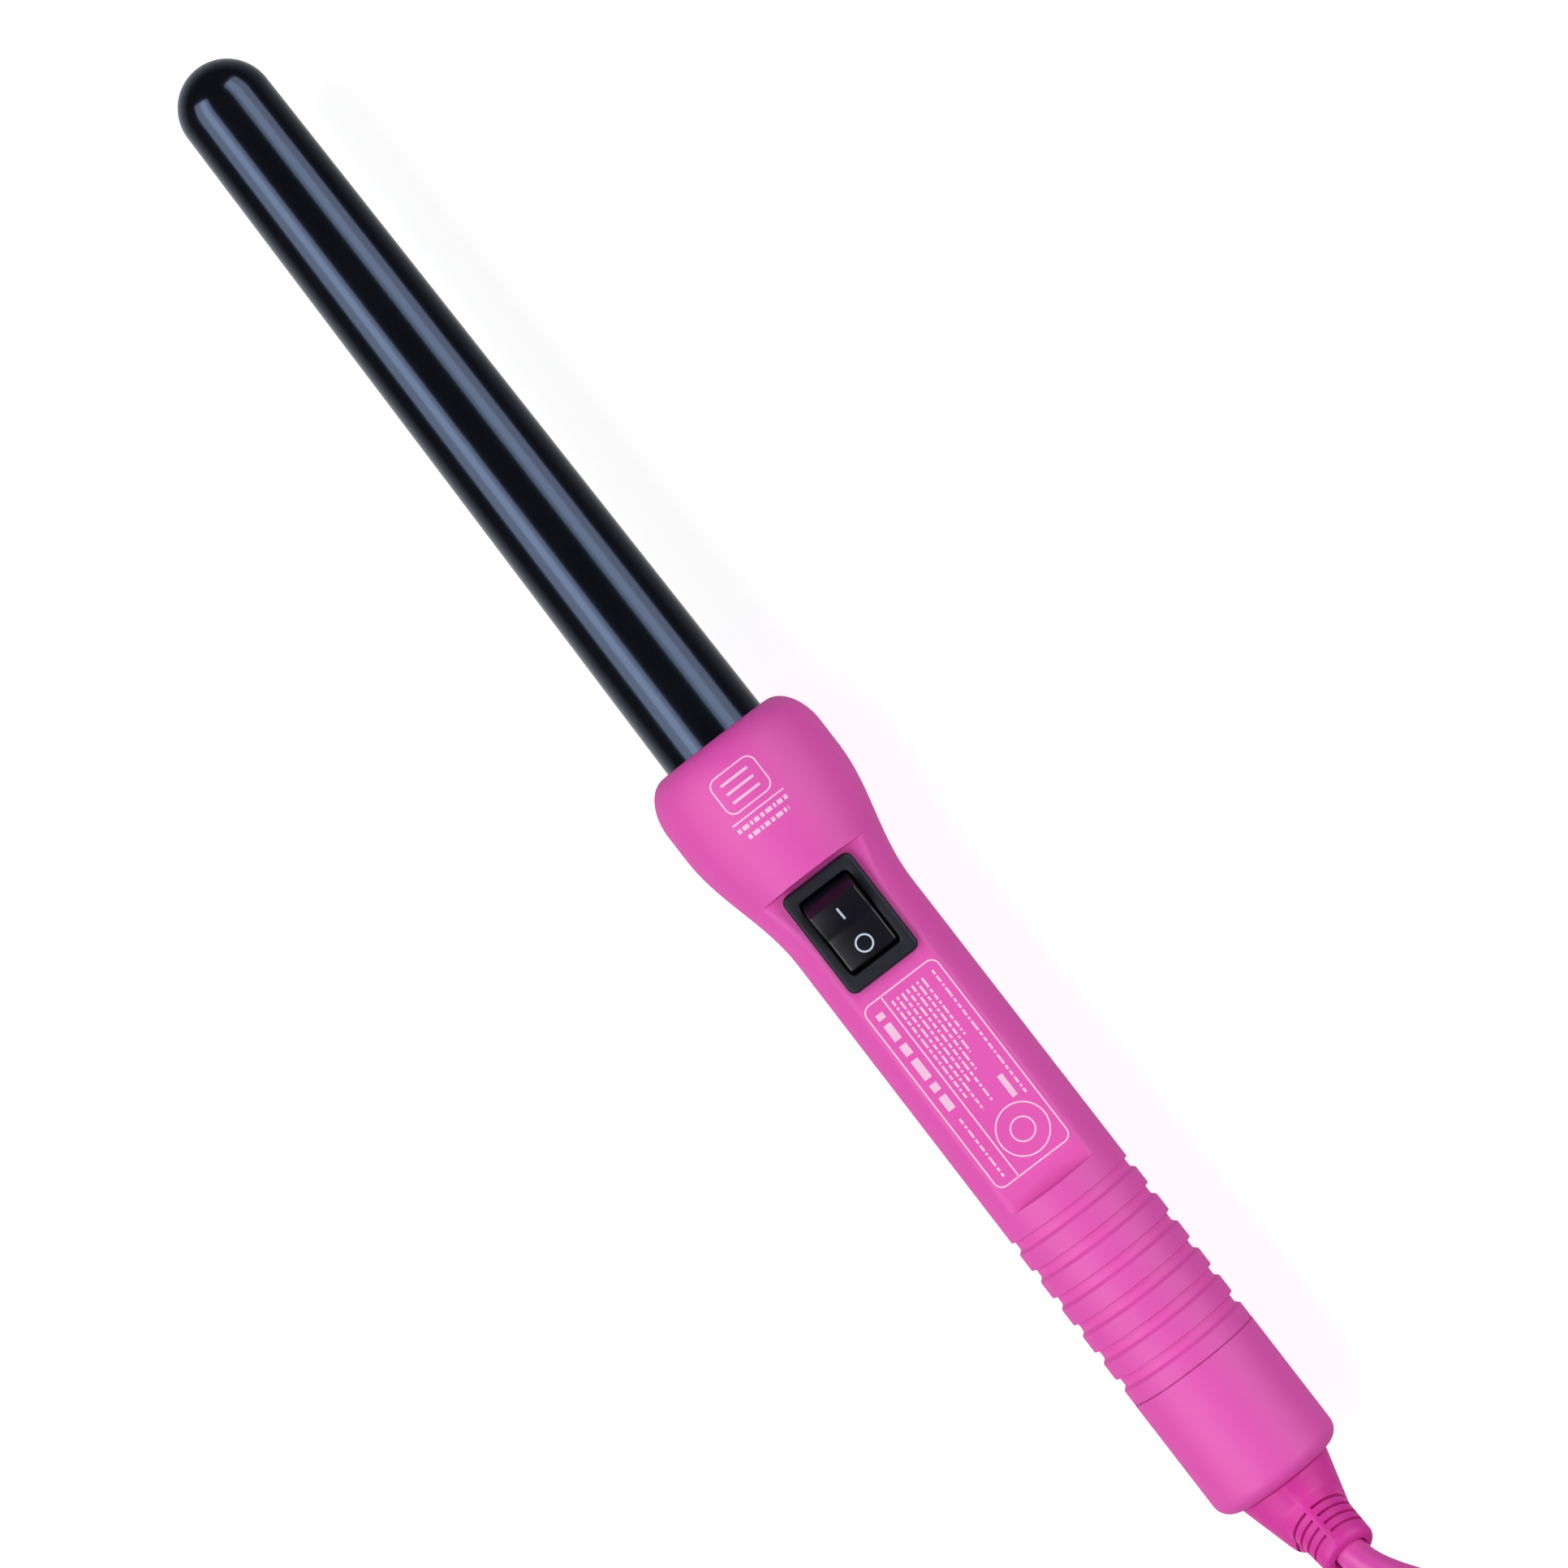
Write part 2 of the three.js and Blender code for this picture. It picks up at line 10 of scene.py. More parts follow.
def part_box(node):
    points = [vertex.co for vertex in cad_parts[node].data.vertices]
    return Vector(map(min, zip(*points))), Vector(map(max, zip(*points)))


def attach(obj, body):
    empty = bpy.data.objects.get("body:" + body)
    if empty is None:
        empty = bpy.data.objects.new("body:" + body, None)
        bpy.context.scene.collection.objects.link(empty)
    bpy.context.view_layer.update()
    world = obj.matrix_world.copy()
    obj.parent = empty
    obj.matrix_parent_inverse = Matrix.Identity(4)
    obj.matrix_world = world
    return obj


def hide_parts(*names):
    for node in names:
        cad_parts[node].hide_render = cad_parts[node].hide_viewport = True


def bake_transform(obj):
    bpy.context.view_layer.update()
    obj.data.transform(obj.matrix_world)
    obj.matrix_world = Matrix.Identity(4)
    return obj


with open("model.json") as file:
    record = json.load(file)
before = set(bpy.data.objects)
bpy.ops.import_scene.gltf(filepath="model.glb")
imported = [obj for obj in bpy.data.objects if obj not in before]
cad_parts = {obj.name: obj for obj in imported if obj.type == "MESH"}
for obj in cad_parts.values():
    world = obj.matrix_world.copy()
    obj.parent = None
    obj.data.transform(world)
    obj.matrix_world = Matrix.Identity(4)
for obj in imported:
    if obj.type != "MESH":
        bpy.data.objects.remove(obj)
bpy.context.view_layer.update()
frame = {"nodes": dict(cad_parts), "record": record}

# Lengths in the dictionaries are millimetres and angles are degrees. Along the wand, x counts
# from the barrel's tip towards the cord. y is sideways, and z is the height above the axis.
mm = 0.001
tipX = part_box("barrel")[0].x
axisZ = 0.5 * (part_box("swivel_hub")[0].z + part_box("swivel_hub")[1].z)


def fromTip(x, y, z):
    return Vector((tipX + x * mm, y * mm, axisZ + z * mm))


def aboveFloor(x, y, height):
    return Vector((tipX + x * mm, y * mm, height * mm))


def smoothStep(t):
    t = min(max(t, 0.0), 1.0)
    return t * t * (3 - 2 * t)


# Camera: nearly straight down on the switch side, with the wand slanting across the picture
cameraSettings = {
    "distance": 1320,
    "lens": 172,
    "turn": 52.35,
    "lean": 4.2,
    "lookAt": (163.0, 4.96, 0),
}


def addCamera(s):
    turn, lean = math.radians(s["turn"]), math.radians(s["lean"])
    along = Vector((1, 0, 0))
    across = Vector((0, math.cos(lean), -math.sin(lean)))
    towards = Vector((0, math.sin(lean), math.cos(lean)))
    right = along * math.cos(turn) + across * math.sin(turn)
    up = across * math.cos(turn) - along * math.sin(turn)
    cameraData = bpy.data.cameras.new("camera")
    cameraData.lens = s["lens"]
    cameraData.sensor_width = 36
    camera = bpy.data.objects.new("camera", cameraData)
    bpy.context.scene.collection.objects.link(camera)
    place = Matrix.Translation(fromTip(*s["lookAt"]) + towards * s["distance"] * mm)
    camera.matrix_world = place @ Matrix((right, up, towards)).transposed().to_4x4()
    bpy.context.scene.camera = camera


addCamera(cameraSettings)
print("camera placed")


# Materials
def fromHex(text):
    channels = [int(text[i:i + 2], 16) / 255 for i in (1, 3, 5)]
    return tuple(c / 12.92 if c <= 0.04045 else ((c + 0.055) / 1.055) ** 2.4
                 for c in channels) + (1,)


def addNode(tree, kind, settings=None, links=None):
    node = tree.nodes.new(kind)
    for name, value in (settings or {}).items():
        if isinstance(name, int) or name in node.inputs:
            node.inputs[name].default_value = value
        else:
            setattr(node, name, value)
    for name, source in (links or {}).items():
        tree.links.new(source, node.inputs[name])
    return node


def surfaceMaterial(s):
    material = bpy.data.materials.new(s["name"])
    material.use_nodes = True
    tree = material.node_tree
    tree.nodes.clear()
    place = addNode(tree, "ShaderNodeTexCoord").outputs["Object"]
    clouds = addNode(tree, "ShaderNodeTexNoise", {"Scale": 1 / (s["cloudSize"] * mm),
                                                  "Detail": 3.0},
                     {"Vector": place})
    tint = addNode(tree, "ShaderNodeValToRGB", {}, {"Fac": clouds.outputs["Fac"]})
    tint.color_ramp.elements[0].position = 0.3
    tint.color_ramp.elements[0].color = fromHex(s["darker"])
    tint.color_ramp.elements[1].position = 0.7
    tint.color_ramp.elements[1].color = fromHex(s["lighter"])
    grain = addNode(tree, "ShaderNodeTexNoise", {"Scale": 1 / (s["grainSize"] * mm), "Detail": 2.0},
                    {"Vector": place})
    polish = addNode(tree, "ShaderNodeMapRange",
                     {"To Min": s["roughness"][0], "To Max": s["roughness"][1]},
                     {"Value": grain.outputs["Fac"]})
    bump = addNode(tree, "ShaderNodeBump", {"Strength": 1.0, "Distance": s["grainDepth"] * mm},
                   {"Height": grain.outputs["Fac"]})
    shader = addNode(tree, "ShaderNodeBsdfPrincipled", s.get("shader", {}),
                     {"Base Color": tint.outputs["Color"], "Roughness": polish.outputs["Result"],
                      "Normal": bump.outputs["Normal"]})
    addNode(tree, "ShaderNodeOutputMaterial", {}, {"Surface": shader.outputs["BSDF"]})
    return material


# Soft-touch lacquer over moulded ABS: satin, slightly velvety at grazing angles, fine spray grain
softTouchLacquer = surfaceMaterial({
    "name": "softTouchLacquerOnAbs", "darker": "#E54EB4", "lighter": "#E954BA", "cloudSize": 30,
    "grainSize": 0.35, "grainDepth": 0.006, "roughness": (0.54, 0.62),
    "shader": {"IOR": 1.5, "Specular IOR Level": 0.65},
})
# Ceramic coating fired on an aluminium tube: deep black and glossy with a steel-blue reflection,
# and faint orange peel
ceramicCoating = surfaceMaterial({
    "name": "ceramicCoatingOnAluminium", "darker": "#050506", "lighter": "#08080A", "cloudSize": 20,
    "grainSize": 2.5, "grainDepth": 0.003, "roughness": (0.13, 0.17),
    "shader": {"IOR": 1.9, "Specular Tint": fromHex("#B7D0FF")},
})
# Spark-eroded nylon: matt blue-grey with a fine even grain
slateNylon = surfaceMaterial({
    "name": "sparkGrainNylon", "darker": "#161722", "lighter": "#1B1C29", "cloudSize": 6,
    "grainSize": 0.2, "grainDepth": 0.012, "roughness": (0.46, 0.56),
    "shader": {"IOR": 1.53, "Specular IOR Level": 0.34},
})
# Satin polycarbonate: near black, smoother than the bezel, with soft reflections
satinPolycarbonate = surfaceMaterial({
    "name": "satinPolycarbonate", "darker": "#0A0A14", "lighter": "#0E0E1A", "cloudSize": 5,
    "grainSize": 0.25, "grainDepth": 0.004, "roughness": (0.26, 0.32), "shader": {"IOR": 1.58},
})
# Flexible PVC, extruded or moulded: deeper pink, satin, faintly uneven
flexiblePvc = surfaceMaterial({
    "name": "flexiblePvc", "darker": "#D932A2", "lighter": "#DF38A8", "cloudSize": 8,
    "grainSize": 0.6, "grainDepth": 0.008, "roughness": (0.44, 0.52),
    "shader": {"IOR": 1.53, "Specular IOR Level": 0.4},
})
# Extruded PVC sheath: lighter than the moulded outlet, satin, with a slow unevenness along it
cordPvc = surfaceMaterial({
    "name": "extrudedCordPvc", "darker": "#E04CB0", "lighter": "#E552B6", "cloudSize": 12,
    "grainSize": 0.8, "grainDepth": 0.008, "roughness": (0.32, 0.40), "shader": {"IOR": 1.53},
})
# Pad-printed ink: flat and matt, pale pink
padPrintInk = surfaceMaterial({
    "name": "padPrintInk", "darker": "#F6BFE2", "lighter": "#FACBE8", "cloudSize": 2,
    "grainSize": 0.15, "grainDepth": 0.004, "roughness": (0.5, 0.6), "shader": {"IOR": 1.5},
})
# Pad-printed ink on the rocker: flat, a slightly bluish white
whiteInk = surfaceMaterial({
    "name": "whitePrintInk", "darker": "#BCCBDC", "lighter": "#C8D6E4", "cloudSize": 2,
    "grainSize": 0.15, "grainDepth": 0.004, "roughness": (0.45, 0.55), "shader": {"IOR": 1.5},
})
# Glass-filled heat-resistant moulding: dull, dark brown, streaked by its fibres
glassFilledPps = surfaceMaterial({
    "name": "glassFilledPps", "darker": "#211D1A", "lighter": "#2C2622", "cloudSize": 3,
    "grainSize": 0.3, "grainDepth": 0.02, "roughness": (0.5, 0.65), "shader": {"IOR": 1.6},
})
# Natural nylon, moulded: milky and slightly waxy, with soft reflections
naturalNylon = surfaceMaterial({
    "name": "naturalNylon", "darker": "#D6D5CC", "lighter": "#DEDDD5", "cloudSize": 5,
    "grainSize": 0.3, "grainDepth": 0.006, "roughness": (0.38, 0.48), "shader": {"IOR": 1.53},
})
# Pressed mica sheet: amber flakes whose gloss changes from one to the next
pressedMica = surfaceMaterial({
    "name": "pressedMica", "darker": "#A98B4E", "lighter": "#C4AA6C", "cloudSize": 1.5,
    "grainSize": 0.5, "grainDepth": 0.02, "roughness": (0.3, 0.5), "shader": {"IOR": 1.58},
})
# Heating ceramic wrapped in film: chalky cream and dull
heaterCeramic = surfaceMaterial({
    "name": "wrappedPtcCeramic", "darker": "#E2DCCB", "lighter": "#EFEADB", "cloudSize": 4,
    "grainSize": 0.4, "grainDepth": 0.01, "roughness": (0.5, 0.65), "shader": {"IOR": 1.55},
})
# Aluminium as extruded: pale grey metal with a soft, blurred shine
extrudedAluminium = surfaceMaterial({
    "name": "extrudedAluminium", "darker": "#C6C8CB", "lighter": "#D2D4D6", "cloudSize": 4,
    "grainSize": 0.3, "grainDepth": 0.006, "roughness": (0.3, 0.42), "shader": {"Metallic": 1.0},
})
# Zinc-plated steel: bright and slightly cloudy
platedSteel = surfaceMaterial({
    "name": "zincPlatedSteel", "darker": "#B9BCC0", "lighter": "#CACCD0", "cloudSize": 1.5,
    "grainSize": 0.2, "grainDepth": 0.004, "roughness": (0.22, 0.34), "shader": {"Metallic": 1.0},
})
# Nickel plate on turned brass: warm white metal, well polished
nickelBrass = surfaceMaterial({
    "name": "nickelPlatedBrass", "darker": "#C3BBA8", "lighter": "#D3CCBA", "cloudSize": 3,
    "grainSize": 0.25, "grainDepth": 0.003, "roughness": (0.16, 0.24), "shader": {"Metallic": 1.0},
})
# Pressed brass strip: yellow metal, lightly dulled by handling
pressedBrass = surfaceMaterial({
    "name": "pressedBrass", "darker": "#C09A48", "lighter": "#D0AC5C", "cloudSize": 2,
    "grainSize": 0.2, "grainDepth": 0.004, "roughness": (0.22, 0.34), "shader": {"Metallic": 1.0},
})
# Rolled copper strip: warm red metal with a satin finish
copperStrip = surfaceMaterial({
    "name": "rolledCopperStrip", "darker": "#BE7048", "lighter": "#D08660", "cloudSize": 2,
    "grainSize": 0.2, "grainDepth": 0.004, "roughness": (0.24, 0.36), "shader": {"Metallic": 1.0},
})


def siliconeSleeve(name, darker, lighter):
    # Silicone wire sleeve: soft gloss and slightly dusty
    return surfaceMaterial({"name": name, "darker": darker, "lighter": lighter, "cloudSize": 3,
                            "grainSize": 0.4, "grainDepth": 0.006, "roughness": (0.4, 0.5),
                            "shader": {"IOR": 1.41}})


def wovenStrap(s):
    # Hook-and-loop strap: matt, with warp and weft about a thread apart
    material = bpy.data.materials.new("wovenHookAndLoop")
    material.use_nodes = True
    tree = material.node_tree
    tree.nodes.clear()
    place = addNode(tree, "ShaderNodeTexCoord").outputs["Object"]
    # a wave's bands across x lie 0.314 / scale apart in object units
    scale = 0.314 / (s["thread"] * mm)
    warp, weft = (addNode(tree, "ShaderNodeTexWave", {"bands_direction": way, "Scale": scale},
                          {"Vector": place}) for way in ("X", "DIAGONAL"))
    weave = addNode(tree, "ShaderNodeMath", {"operation": "MAXIMUM"},
                    {0: warp.outputs["Fac"], 1: weft.outputs["Fac"]})
    tint = addNode(tree, "ShaderNodeValToRGB", {}, {"Fac": weave.outputs["Value"]})
    tint.color_ramp.elements[0].color = fromHex(s["gap"])
    tint.color_ramp.elements[1].color = fromHex(s["threadColour"])
    bump = addNode(tree, "ShaderNodeBump", {"Distance": s["relief"] * mm},
                   {"Height": weave.outputs["Value"]})
    shader = addNode(tree, "ShaderNodeBsdfPrincipled", {"Roughness": 0.85, "Sheen Weight": 0.4},
                     {"Base Color": tint.outputs["Color"], "Normal": bump.outputs["Normal"]})
    addNode(tree, "ShaderNodeOutputMaterial", {}, {"Surface": shader.outputs["BSDF"]})
    return material


strapWeave = wovenStrap({"thread": 0.4, "relief": 0.08, "gap": "#0E0E10",
                         "threadColour": "#26262A"})
blueSilicone = siliconeSleeve("blueSilicone", "#2C5CA4", "#3766B0")
brownSilicone = siliconeSleeve("brownSilicone", "#633B25", "#70462E")
redSilicone = siliconeSleeve("redSilicone", "#9E3028", "#AE3B32")
print("materials made")


# Mesh helpers
def makePiece(name, points, faces, material, body=None, slot=None, replaces=(), sharp=32):
    mesh = bpy.data.meshes.new(name)
    mesh.from_pydata([tuple(p) for p in points], [], faces)
    work = bmesh.new()
    work.from_mesh(mesh)
    bmesh.ops.remove_doubles(work, verts=work.verts, dist=1e-7)
    bmesh.ops.recalc_face_normals(work, faces=work.faces)
    work.to_mesh(mesh)
    work.free()
    mesh.shade_smooth()
    mesh.set_sharp_from_angle(angle=math.radians(sharp))
    mesh.materials.append(material)
    piece = bpy.data.objects.new(name, mesh)
    bpy.context.scene.collection.objects.link(piece)
    if body:
        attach(piece, body)
    if replaces:
        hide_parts(*replaces)
    return piece


def loft(rings, closedAlong=False, capStart=True, capEnd=True):
    count = len(rings[0])
    points = [p for ring in rings for p in ring]
    faces = []
    last = len(rings) if closedAlong else len(rings) - 1
    for i in range(last):
        a, b = i * count, ((i + 1) % len(rings)) * count
        for j in range(count):
            k = (j + 1) % count
            faces.append((a + j, a + k, b + k, b + j))
    if not closedAlong and capStart:
        faces.append(tuple(range(count)))
    if not closedAlong and capEnd:
        faces.append(tuple(range((len(rings) - 1) * count, len(rings) * count)))
    return points, faces


def turned(profile, sides=96):
    # rings of a profile of (x, radius); a point on the axis becomes one shared point when merged
    return [[fromTip(x, b, a) for a, b in circle(r, sides)] for x, r in profile]


def turnedPiece(name, profile, material, sides=96, closed=False, **more):
    rings = turned(profile, sides)
    points, faces = loft(rings, closedAlong=closed, capStart=False, capEnd=False)
    return makePiece(name, points, faces, material, **more)


def arc(centreX, centreR, radius, start, end, steps):
    turns = [math.radians(start + (end - start) * i / steps) for i in range(steps + 1)]
    return [(centreX + radius * math.cos(t), centreR + radius * math.sin(t)) for t in turns]


def joinPieces(name, parts, material):
    points, faces = [], []
    for more, moreFaces in parts:
        faces += [tuple(i + len(points) for i in face) for face in moreFaces]
        points += list(more)
    return makePiece(name, points, faces, material)


def circle(radius, sides):
    return [(radius * math.cos(2 * math.pi * k / sides), radius * math.sin(2 * math.pi * k / sides))
            for k in range(sides)]


def applyModifiers(piece):
    view = bpy.context.evaluated_depsgraph_get()
    mesh = bpy.data.meshes.new_from_object(piece.evaluated_get(view), depsgraph=view)
    old = piece.data
    piece.modifiers.clear()
    piece.data = mesh
    bpy.data.meshes.remove(old)


def combine(piece, tool, operation):
    step = piece.modifiers.new(operation, "BOOLEAN")
    step.operation = operation
    step.solver = "EXACT"
    step.object = tool
    applyModifiers(piece)
    bpy.data.objects.remove(tool, do_unlink=True)


def resharpen(piece, angle=32):
    piece.data.shade_smooth()
    piece.data.set_sharp_from_angle(angle=math.radians(angle))


# Cord: one smooth line out of the sleeve, over to the hank, round its turns and on to the plug
cordSettings = {"diameter": 6.0, "sides": 20, "step": 1.6, "stiffness": "medium", "inside": (6, 3),
                "plugEntry": (432, -5, 31.7), "turnStart": 331, "turnEnd": 351.5}
sleeve = {"rise": 33, "sideways": 8, "foot": (315.8, 0, 0), "length": 17.3, "root": 5.75,
          "end": 5.45}
hank = {
    "centre": (424.1, -5.0), "halfRun": 45, "innerEnd": 18, "innerWaist": 6, "pitch": 6.1,
    "layers": 4, "lowest": 3.05, "descentEnd": -12, "tieLift": 1.6, "tieLiftWidth": 13,
}
leadRoute = [(331.4, 2.3, 27.1), (334, 3.4, 28.6), (337, 5.3, 30), (340.2, 7.7, 31.2),
             (343.3, 10.2, 31.9),
             (346.4, 12.6, 32.2), (349.7, 14.8, 31.9), (353.3, 16.6, 31.3), (357.1, 17.9, 30.4),
             (361, 18.7, 29.5),
             (365, 19.1, 28.7), (368.9, 19.3, 28.1), (372.8, 19.3, 27.8), (376.8, 19.2, 27.7)]
tailRoute = [(384.5, 12.5, 22.2), (390.5, 10.7, 24), (397, 7.9, 26.1), (403, 4.8, 27.8),
             (408, 2.2, 28.7),
             (413, -0.4, 29.9), (418, -2.9, 31), (423, -4.6, 31.6), (428.4, -5, 31.7)]

rise, sideways = math.radians(sleeve["rise"]), math.radians(sleeve["sideways"])
sleeveWay = Vector((math.cos(rise) * math.cos(sideways), math.cos(rise) * math.sin(sideways),
                    math.sin(rise)))
sleeveFoot = Vector(sleeve["foot"])


def sleevePoint(t):
    return fromTip(*(sleeveFoot + sleeveWay * t))


def hankRoute(s):
    half, pitch = s["halfRun"], s["pitch"]
    layerHeight = lambda layer: s["lowest"] + layer * pitch
    route = []

    def innerRun(x):
        return s["innerWaist"] + (s["innerEnd"] - s["innerWaist"]) * (1
                                                                      - math.cos(math.pi * x / half)) / 2

    def add(x, y, layer, column):
        # column is 0 on the inner line and 1 a cord further out, along the line's normal
        if abs(x) < half:
            slope = (s["innerEnd"]
                     - s["innerWaist"]) / 2 * math.pi / half * math.sin(math.pi * x / half)
            side = 1 if y > 0 else -1
            length = math.hypot(1, slope)
            x, y = x - column * pitch * slope / length, side * (innerRun(x)
                                                                + column * pitch / length)
        lift = s["tieLift"] * math.exp(-(x / s["tieLiftWidth"]) ** 2)
        route.append((s["centre"][0] + x, s["centre"][1] + y, layerHeight(layer) + lift))

    def run(side, column, layer, steps=22):
        # +1 is the far-going run on the +y side, -1 the run back on the -y side
        for i in range(steps):
            x = side * half * (2 * (i + 0.5) / steps - 1)
            add(x, side, layer(x), column(x))

    def fold(end, column, layer, steps=18):
        for i in range(steps):
            turn = (i + 0.5) / steps
            angle = math.pi / 2 - end * math.pi * turn if end > 0 else -math.pi / 2 - math.pi * turn
            radius = s["innerEnd"] + column * pitch
            x = end * half + radius * math.cos(angle)
            y = radius * math.sin(angle)
            route.append((s["centre"][0] + x, s["centre"][1] + y, layerHeight(layer(turn))))

    top = s["layers"] - 1
    for layer in range(top, -1, -1):
        drop = lambda x, k=layer: k + 1 - smoothStep((x + half) / (half + s["descentEnd"]))
        run(1, lambda x: 1, drop)
        fold(1, 1, lambda t, k=layer: k)
        if layer:
            run(-1, lambda x: 1, lambda x, k=layer: k)
            fold(-1, 1, lambda t, k=layer: k)
    run(-1, lambda x: smoothStep((x + half) / (2 * half) * 2.2 - 1.2), lambda x: 0)
    for layer in range(s["layers"]):
        fold(-1, 0, lambda t, k=layer: k)
        if layer < top:
            run(1, lambda x: 0, lambda x, k=layer: k)
            fold(1, 0, lambda t, k=layer: k + smoothStep(t))
            run(-1, lambda x: 0, lambda x, k=layer: k + 1)
    return route


def smoothLine(points, step, between=8, passes=6):
    # a centripetal curve through the points, cut into even steps and eased a little
    points = [Vector(p) for p in points]
    points = [points[0] * 2 - points[1]] + points + [points[-1] * 2 - points[-2]]
    dense = []
    for p0, p1, p2, p3 in zip(points, points[1:], points[2:], points[3:]):
        knots = [0.0]
        for a, b in ((p0, p1), (p1, p2), (p2, p3)):
            knots.append(knots[-1] + max((b - a).length, 1e-9) ** 0.5)
        t0, t1, t2, t3 = knots
        for i in range(between):
            t = t1 + (t2 - t1) * i / between
            a1 = p0.lerp(p1, (t - t0) / (t1 - t0))
            a2 = p1.lerp(p2, (t - t1) / (t2 - t1))
            a3 = p2.lerp(p3, (t - t2) / (t3 - t2))
            dense.append(a1.lerp(a2, (t - t0) / (t2 - t0)).lerp(a2.lerp(a3, (t - t1) / (t3 - t1)),
                                                                (t - t1) / (t2 - t1)))
    dense.append(points[-2])
    line = np.array([tuple(p) for p in dense])
    along = np.concatenate([[0], np.cumsum(np.linalg.norm(np.diff(line, axis=0), axis=1))])
    count = max(int(round(along[-1] / step)), 2)
    even = np.linspace(0, along[-1], count + 1)
    line = np.stack([np.interp(even, along, line[:, k]) for k in range(3)], axis=1)
    for _ in range(passes):
        line[1:-1] = 0.25 * line[:-2] + 0.5 * line[1:-1] + 0.25 * line[2:]
    return [Vector(p) for p in line]


def tubeRings(line, radius, sides):
    # a round section carried along the line without twisting
    rings = []
    way = (line[1] - line[0]).normalized()
    out = way.orthogonal().normalized()
    for i, point in enumerate(line):
        after = line[min(i + 1, len(line) - 1)] - line[max(i - 1, 0)]
        newWay = after.normalized()
        out = way.rotation_difference(newWay) @ out
        out = (out - newWay * out.dot(newWay)).normalized()
        other = newWay.cross(out)
        way = newWay
        r = radius(i / (len(line) - 1)) if callable(radius) else radius
        rings.append([point + (out * math.cos(2 * math.pi * k / sides)
                               + other * math.sin(2 * math.pi * k / sides)) * r
                      for k in range(sides)])
    return rings


def addCord(s):
    sleeveEnd = sleeveFoot + sleeveWay * sleeve["length"]
    floorToAxis = axisZ / mm
    inside = [sleeveEnd - sleeveWay * back for back in s["inside"]]
    inside = [(p.x, p.y, p.z + floorToAxis) for p in inside]
    route = inside + leadRoute + hankRoute(hank) + tailRoute + [s["plugEntry"]]
    line = smoothLine([aboveFloor(*p) for p in route], s["step"] * mm)
    rings = tubeRings(line, s["diameter"] / 2 * mm, s["sides"])
    points, faces = loft(rings)
    cord = makePiece("mains_cord", points, faces, cordPvc, slot="cord_pvc",
                     replaces=("cord_lead", "cord_hank", "cord_tail"))
    length = sum((b - a).length for a, b in zip(line, line[1:]))
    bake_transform(cord)
    return cord, line, length


cord, cordLine, cordLength = addCord(cordSettings)
print("cord laid,", round(cordLength, 3), "m")


# Barrel: round end with a small moulding mark at its tip
barrelSettings = {"tipRadius": 8.8, "baseRadius": 10.3, "taperEnd": 149.3, "end": 168, "wall": 1.2,
                  "dimpleRadius": 0.9, "dimpleDepth": 0.35}


def addBarrel(s):
    tip = s["tipRadius"]
    dimple = [(s["dimpleDepth"] * math.cos(math.pi / 2 * i / 5), s["dimpleRadius"] * i / 5)
              for i in range(5)]
    start = math.degrees(math.asin(s["dimpleRadius"] / tip))
    dome = arc(tip, 0, tip, 180 - start, 90, 30)
    body = [(tip + (s["taperEnd"] - tip) * i / 24,
             tip + (s["baseRadius"] - tip) * i / 24) for i in range(1, 25)]
    inner = s["baseRadius"] - s["wall"]
    inside = [(s["end"], s["baseRadius"]), (s["end"], inner), (s["taperEnd"], inner)]
    innerDome = arc(tip, 0, tip - s["wall"], 90, 180, 16)
    turnedPiece("barrel_tube", dimple + dome + body + inside + innerDome, ceramicCoating, sides=128,
                body="handle", slot="barrel_enamel", replaces=("barrel",))


addBarrel(barrelSettings)
print("barrel made")


# Handle shells: one outline of (x, radius), flattened on the switch side
handle = {
    "rim": 149.3, "mouth": 10.65, "rimRadius": 11.3, "rimRound": 0.4, "crownStart": 158,
    "crownEnd": 163, "crown": 16.95,
    "gripStart": 190, "gripRadius": 12.66, "gripEndRadius": 12.76, "restFlat": 16.6,
    "landStart": 178.2, "landEnd": 247.2, "landHeight": 9.5, "landWall": 2, "edgeRound": 0.65,
    "creaseRound": 0.35,
    "wallSlope": 12, "landZone": (176, 250), "restRound": 0.05, "seamGap": 0.25,
    "ribStart": 251.6, "ribPitch": 6.04, "ribCount": 6, "ribCrown": 12.9, "ribFloor": 12.15,
    "ribFall": 0.14, "riseStart": 1.8, "riseLength": 0.95,
    "jointX": 287.5, "jointRound": 0.18, "spigotRadius": 11.2, "spigotEnd": 297, "columns": 200,
    "screwX": (208, 244, 278),
}
# Where the outline is cut along x, as (from, to, step): closest together at the land's walls
outlineCuts = {
    "slope": ((163.6, 177.0, 0.8), (177.1, 178.75, 0.075), (179.2, 190, 0.9)),
    "grip": ((190, 245, 1.6), (247.0, 247.75, 0.05)),
    "gripExtra": (245.4, 246.2, 246.8, 248.4, 249.2, 250.2, 251.2),
    "rib": (0, 0.035, 0.07, 0.105, 0.14, 0.3, 1, 1.7, 1.9, 2.05, 2.2, 2.35, 2.5, 2.65, 2.8, 3.2,
            4.2, 5.2, 5.8),
}
# Screw bosses and their holes, as (lowest z, highest z, radius)
bossSettings = {
    "underLand": (0.3, 8.5, 3.2), "inGrip": (0.3, 11.4, 3.2), "pilot": (-2, 6.5, 1.5),
    "rear": (-11.5, -0.3, 3.9), "headWell": (-20, -7.7, 2.9), "clearance": (-9, 2, 1.6),
    "switchHole": ((179.7, -6.7, 5), (199.1, 6.7, 12)),
}


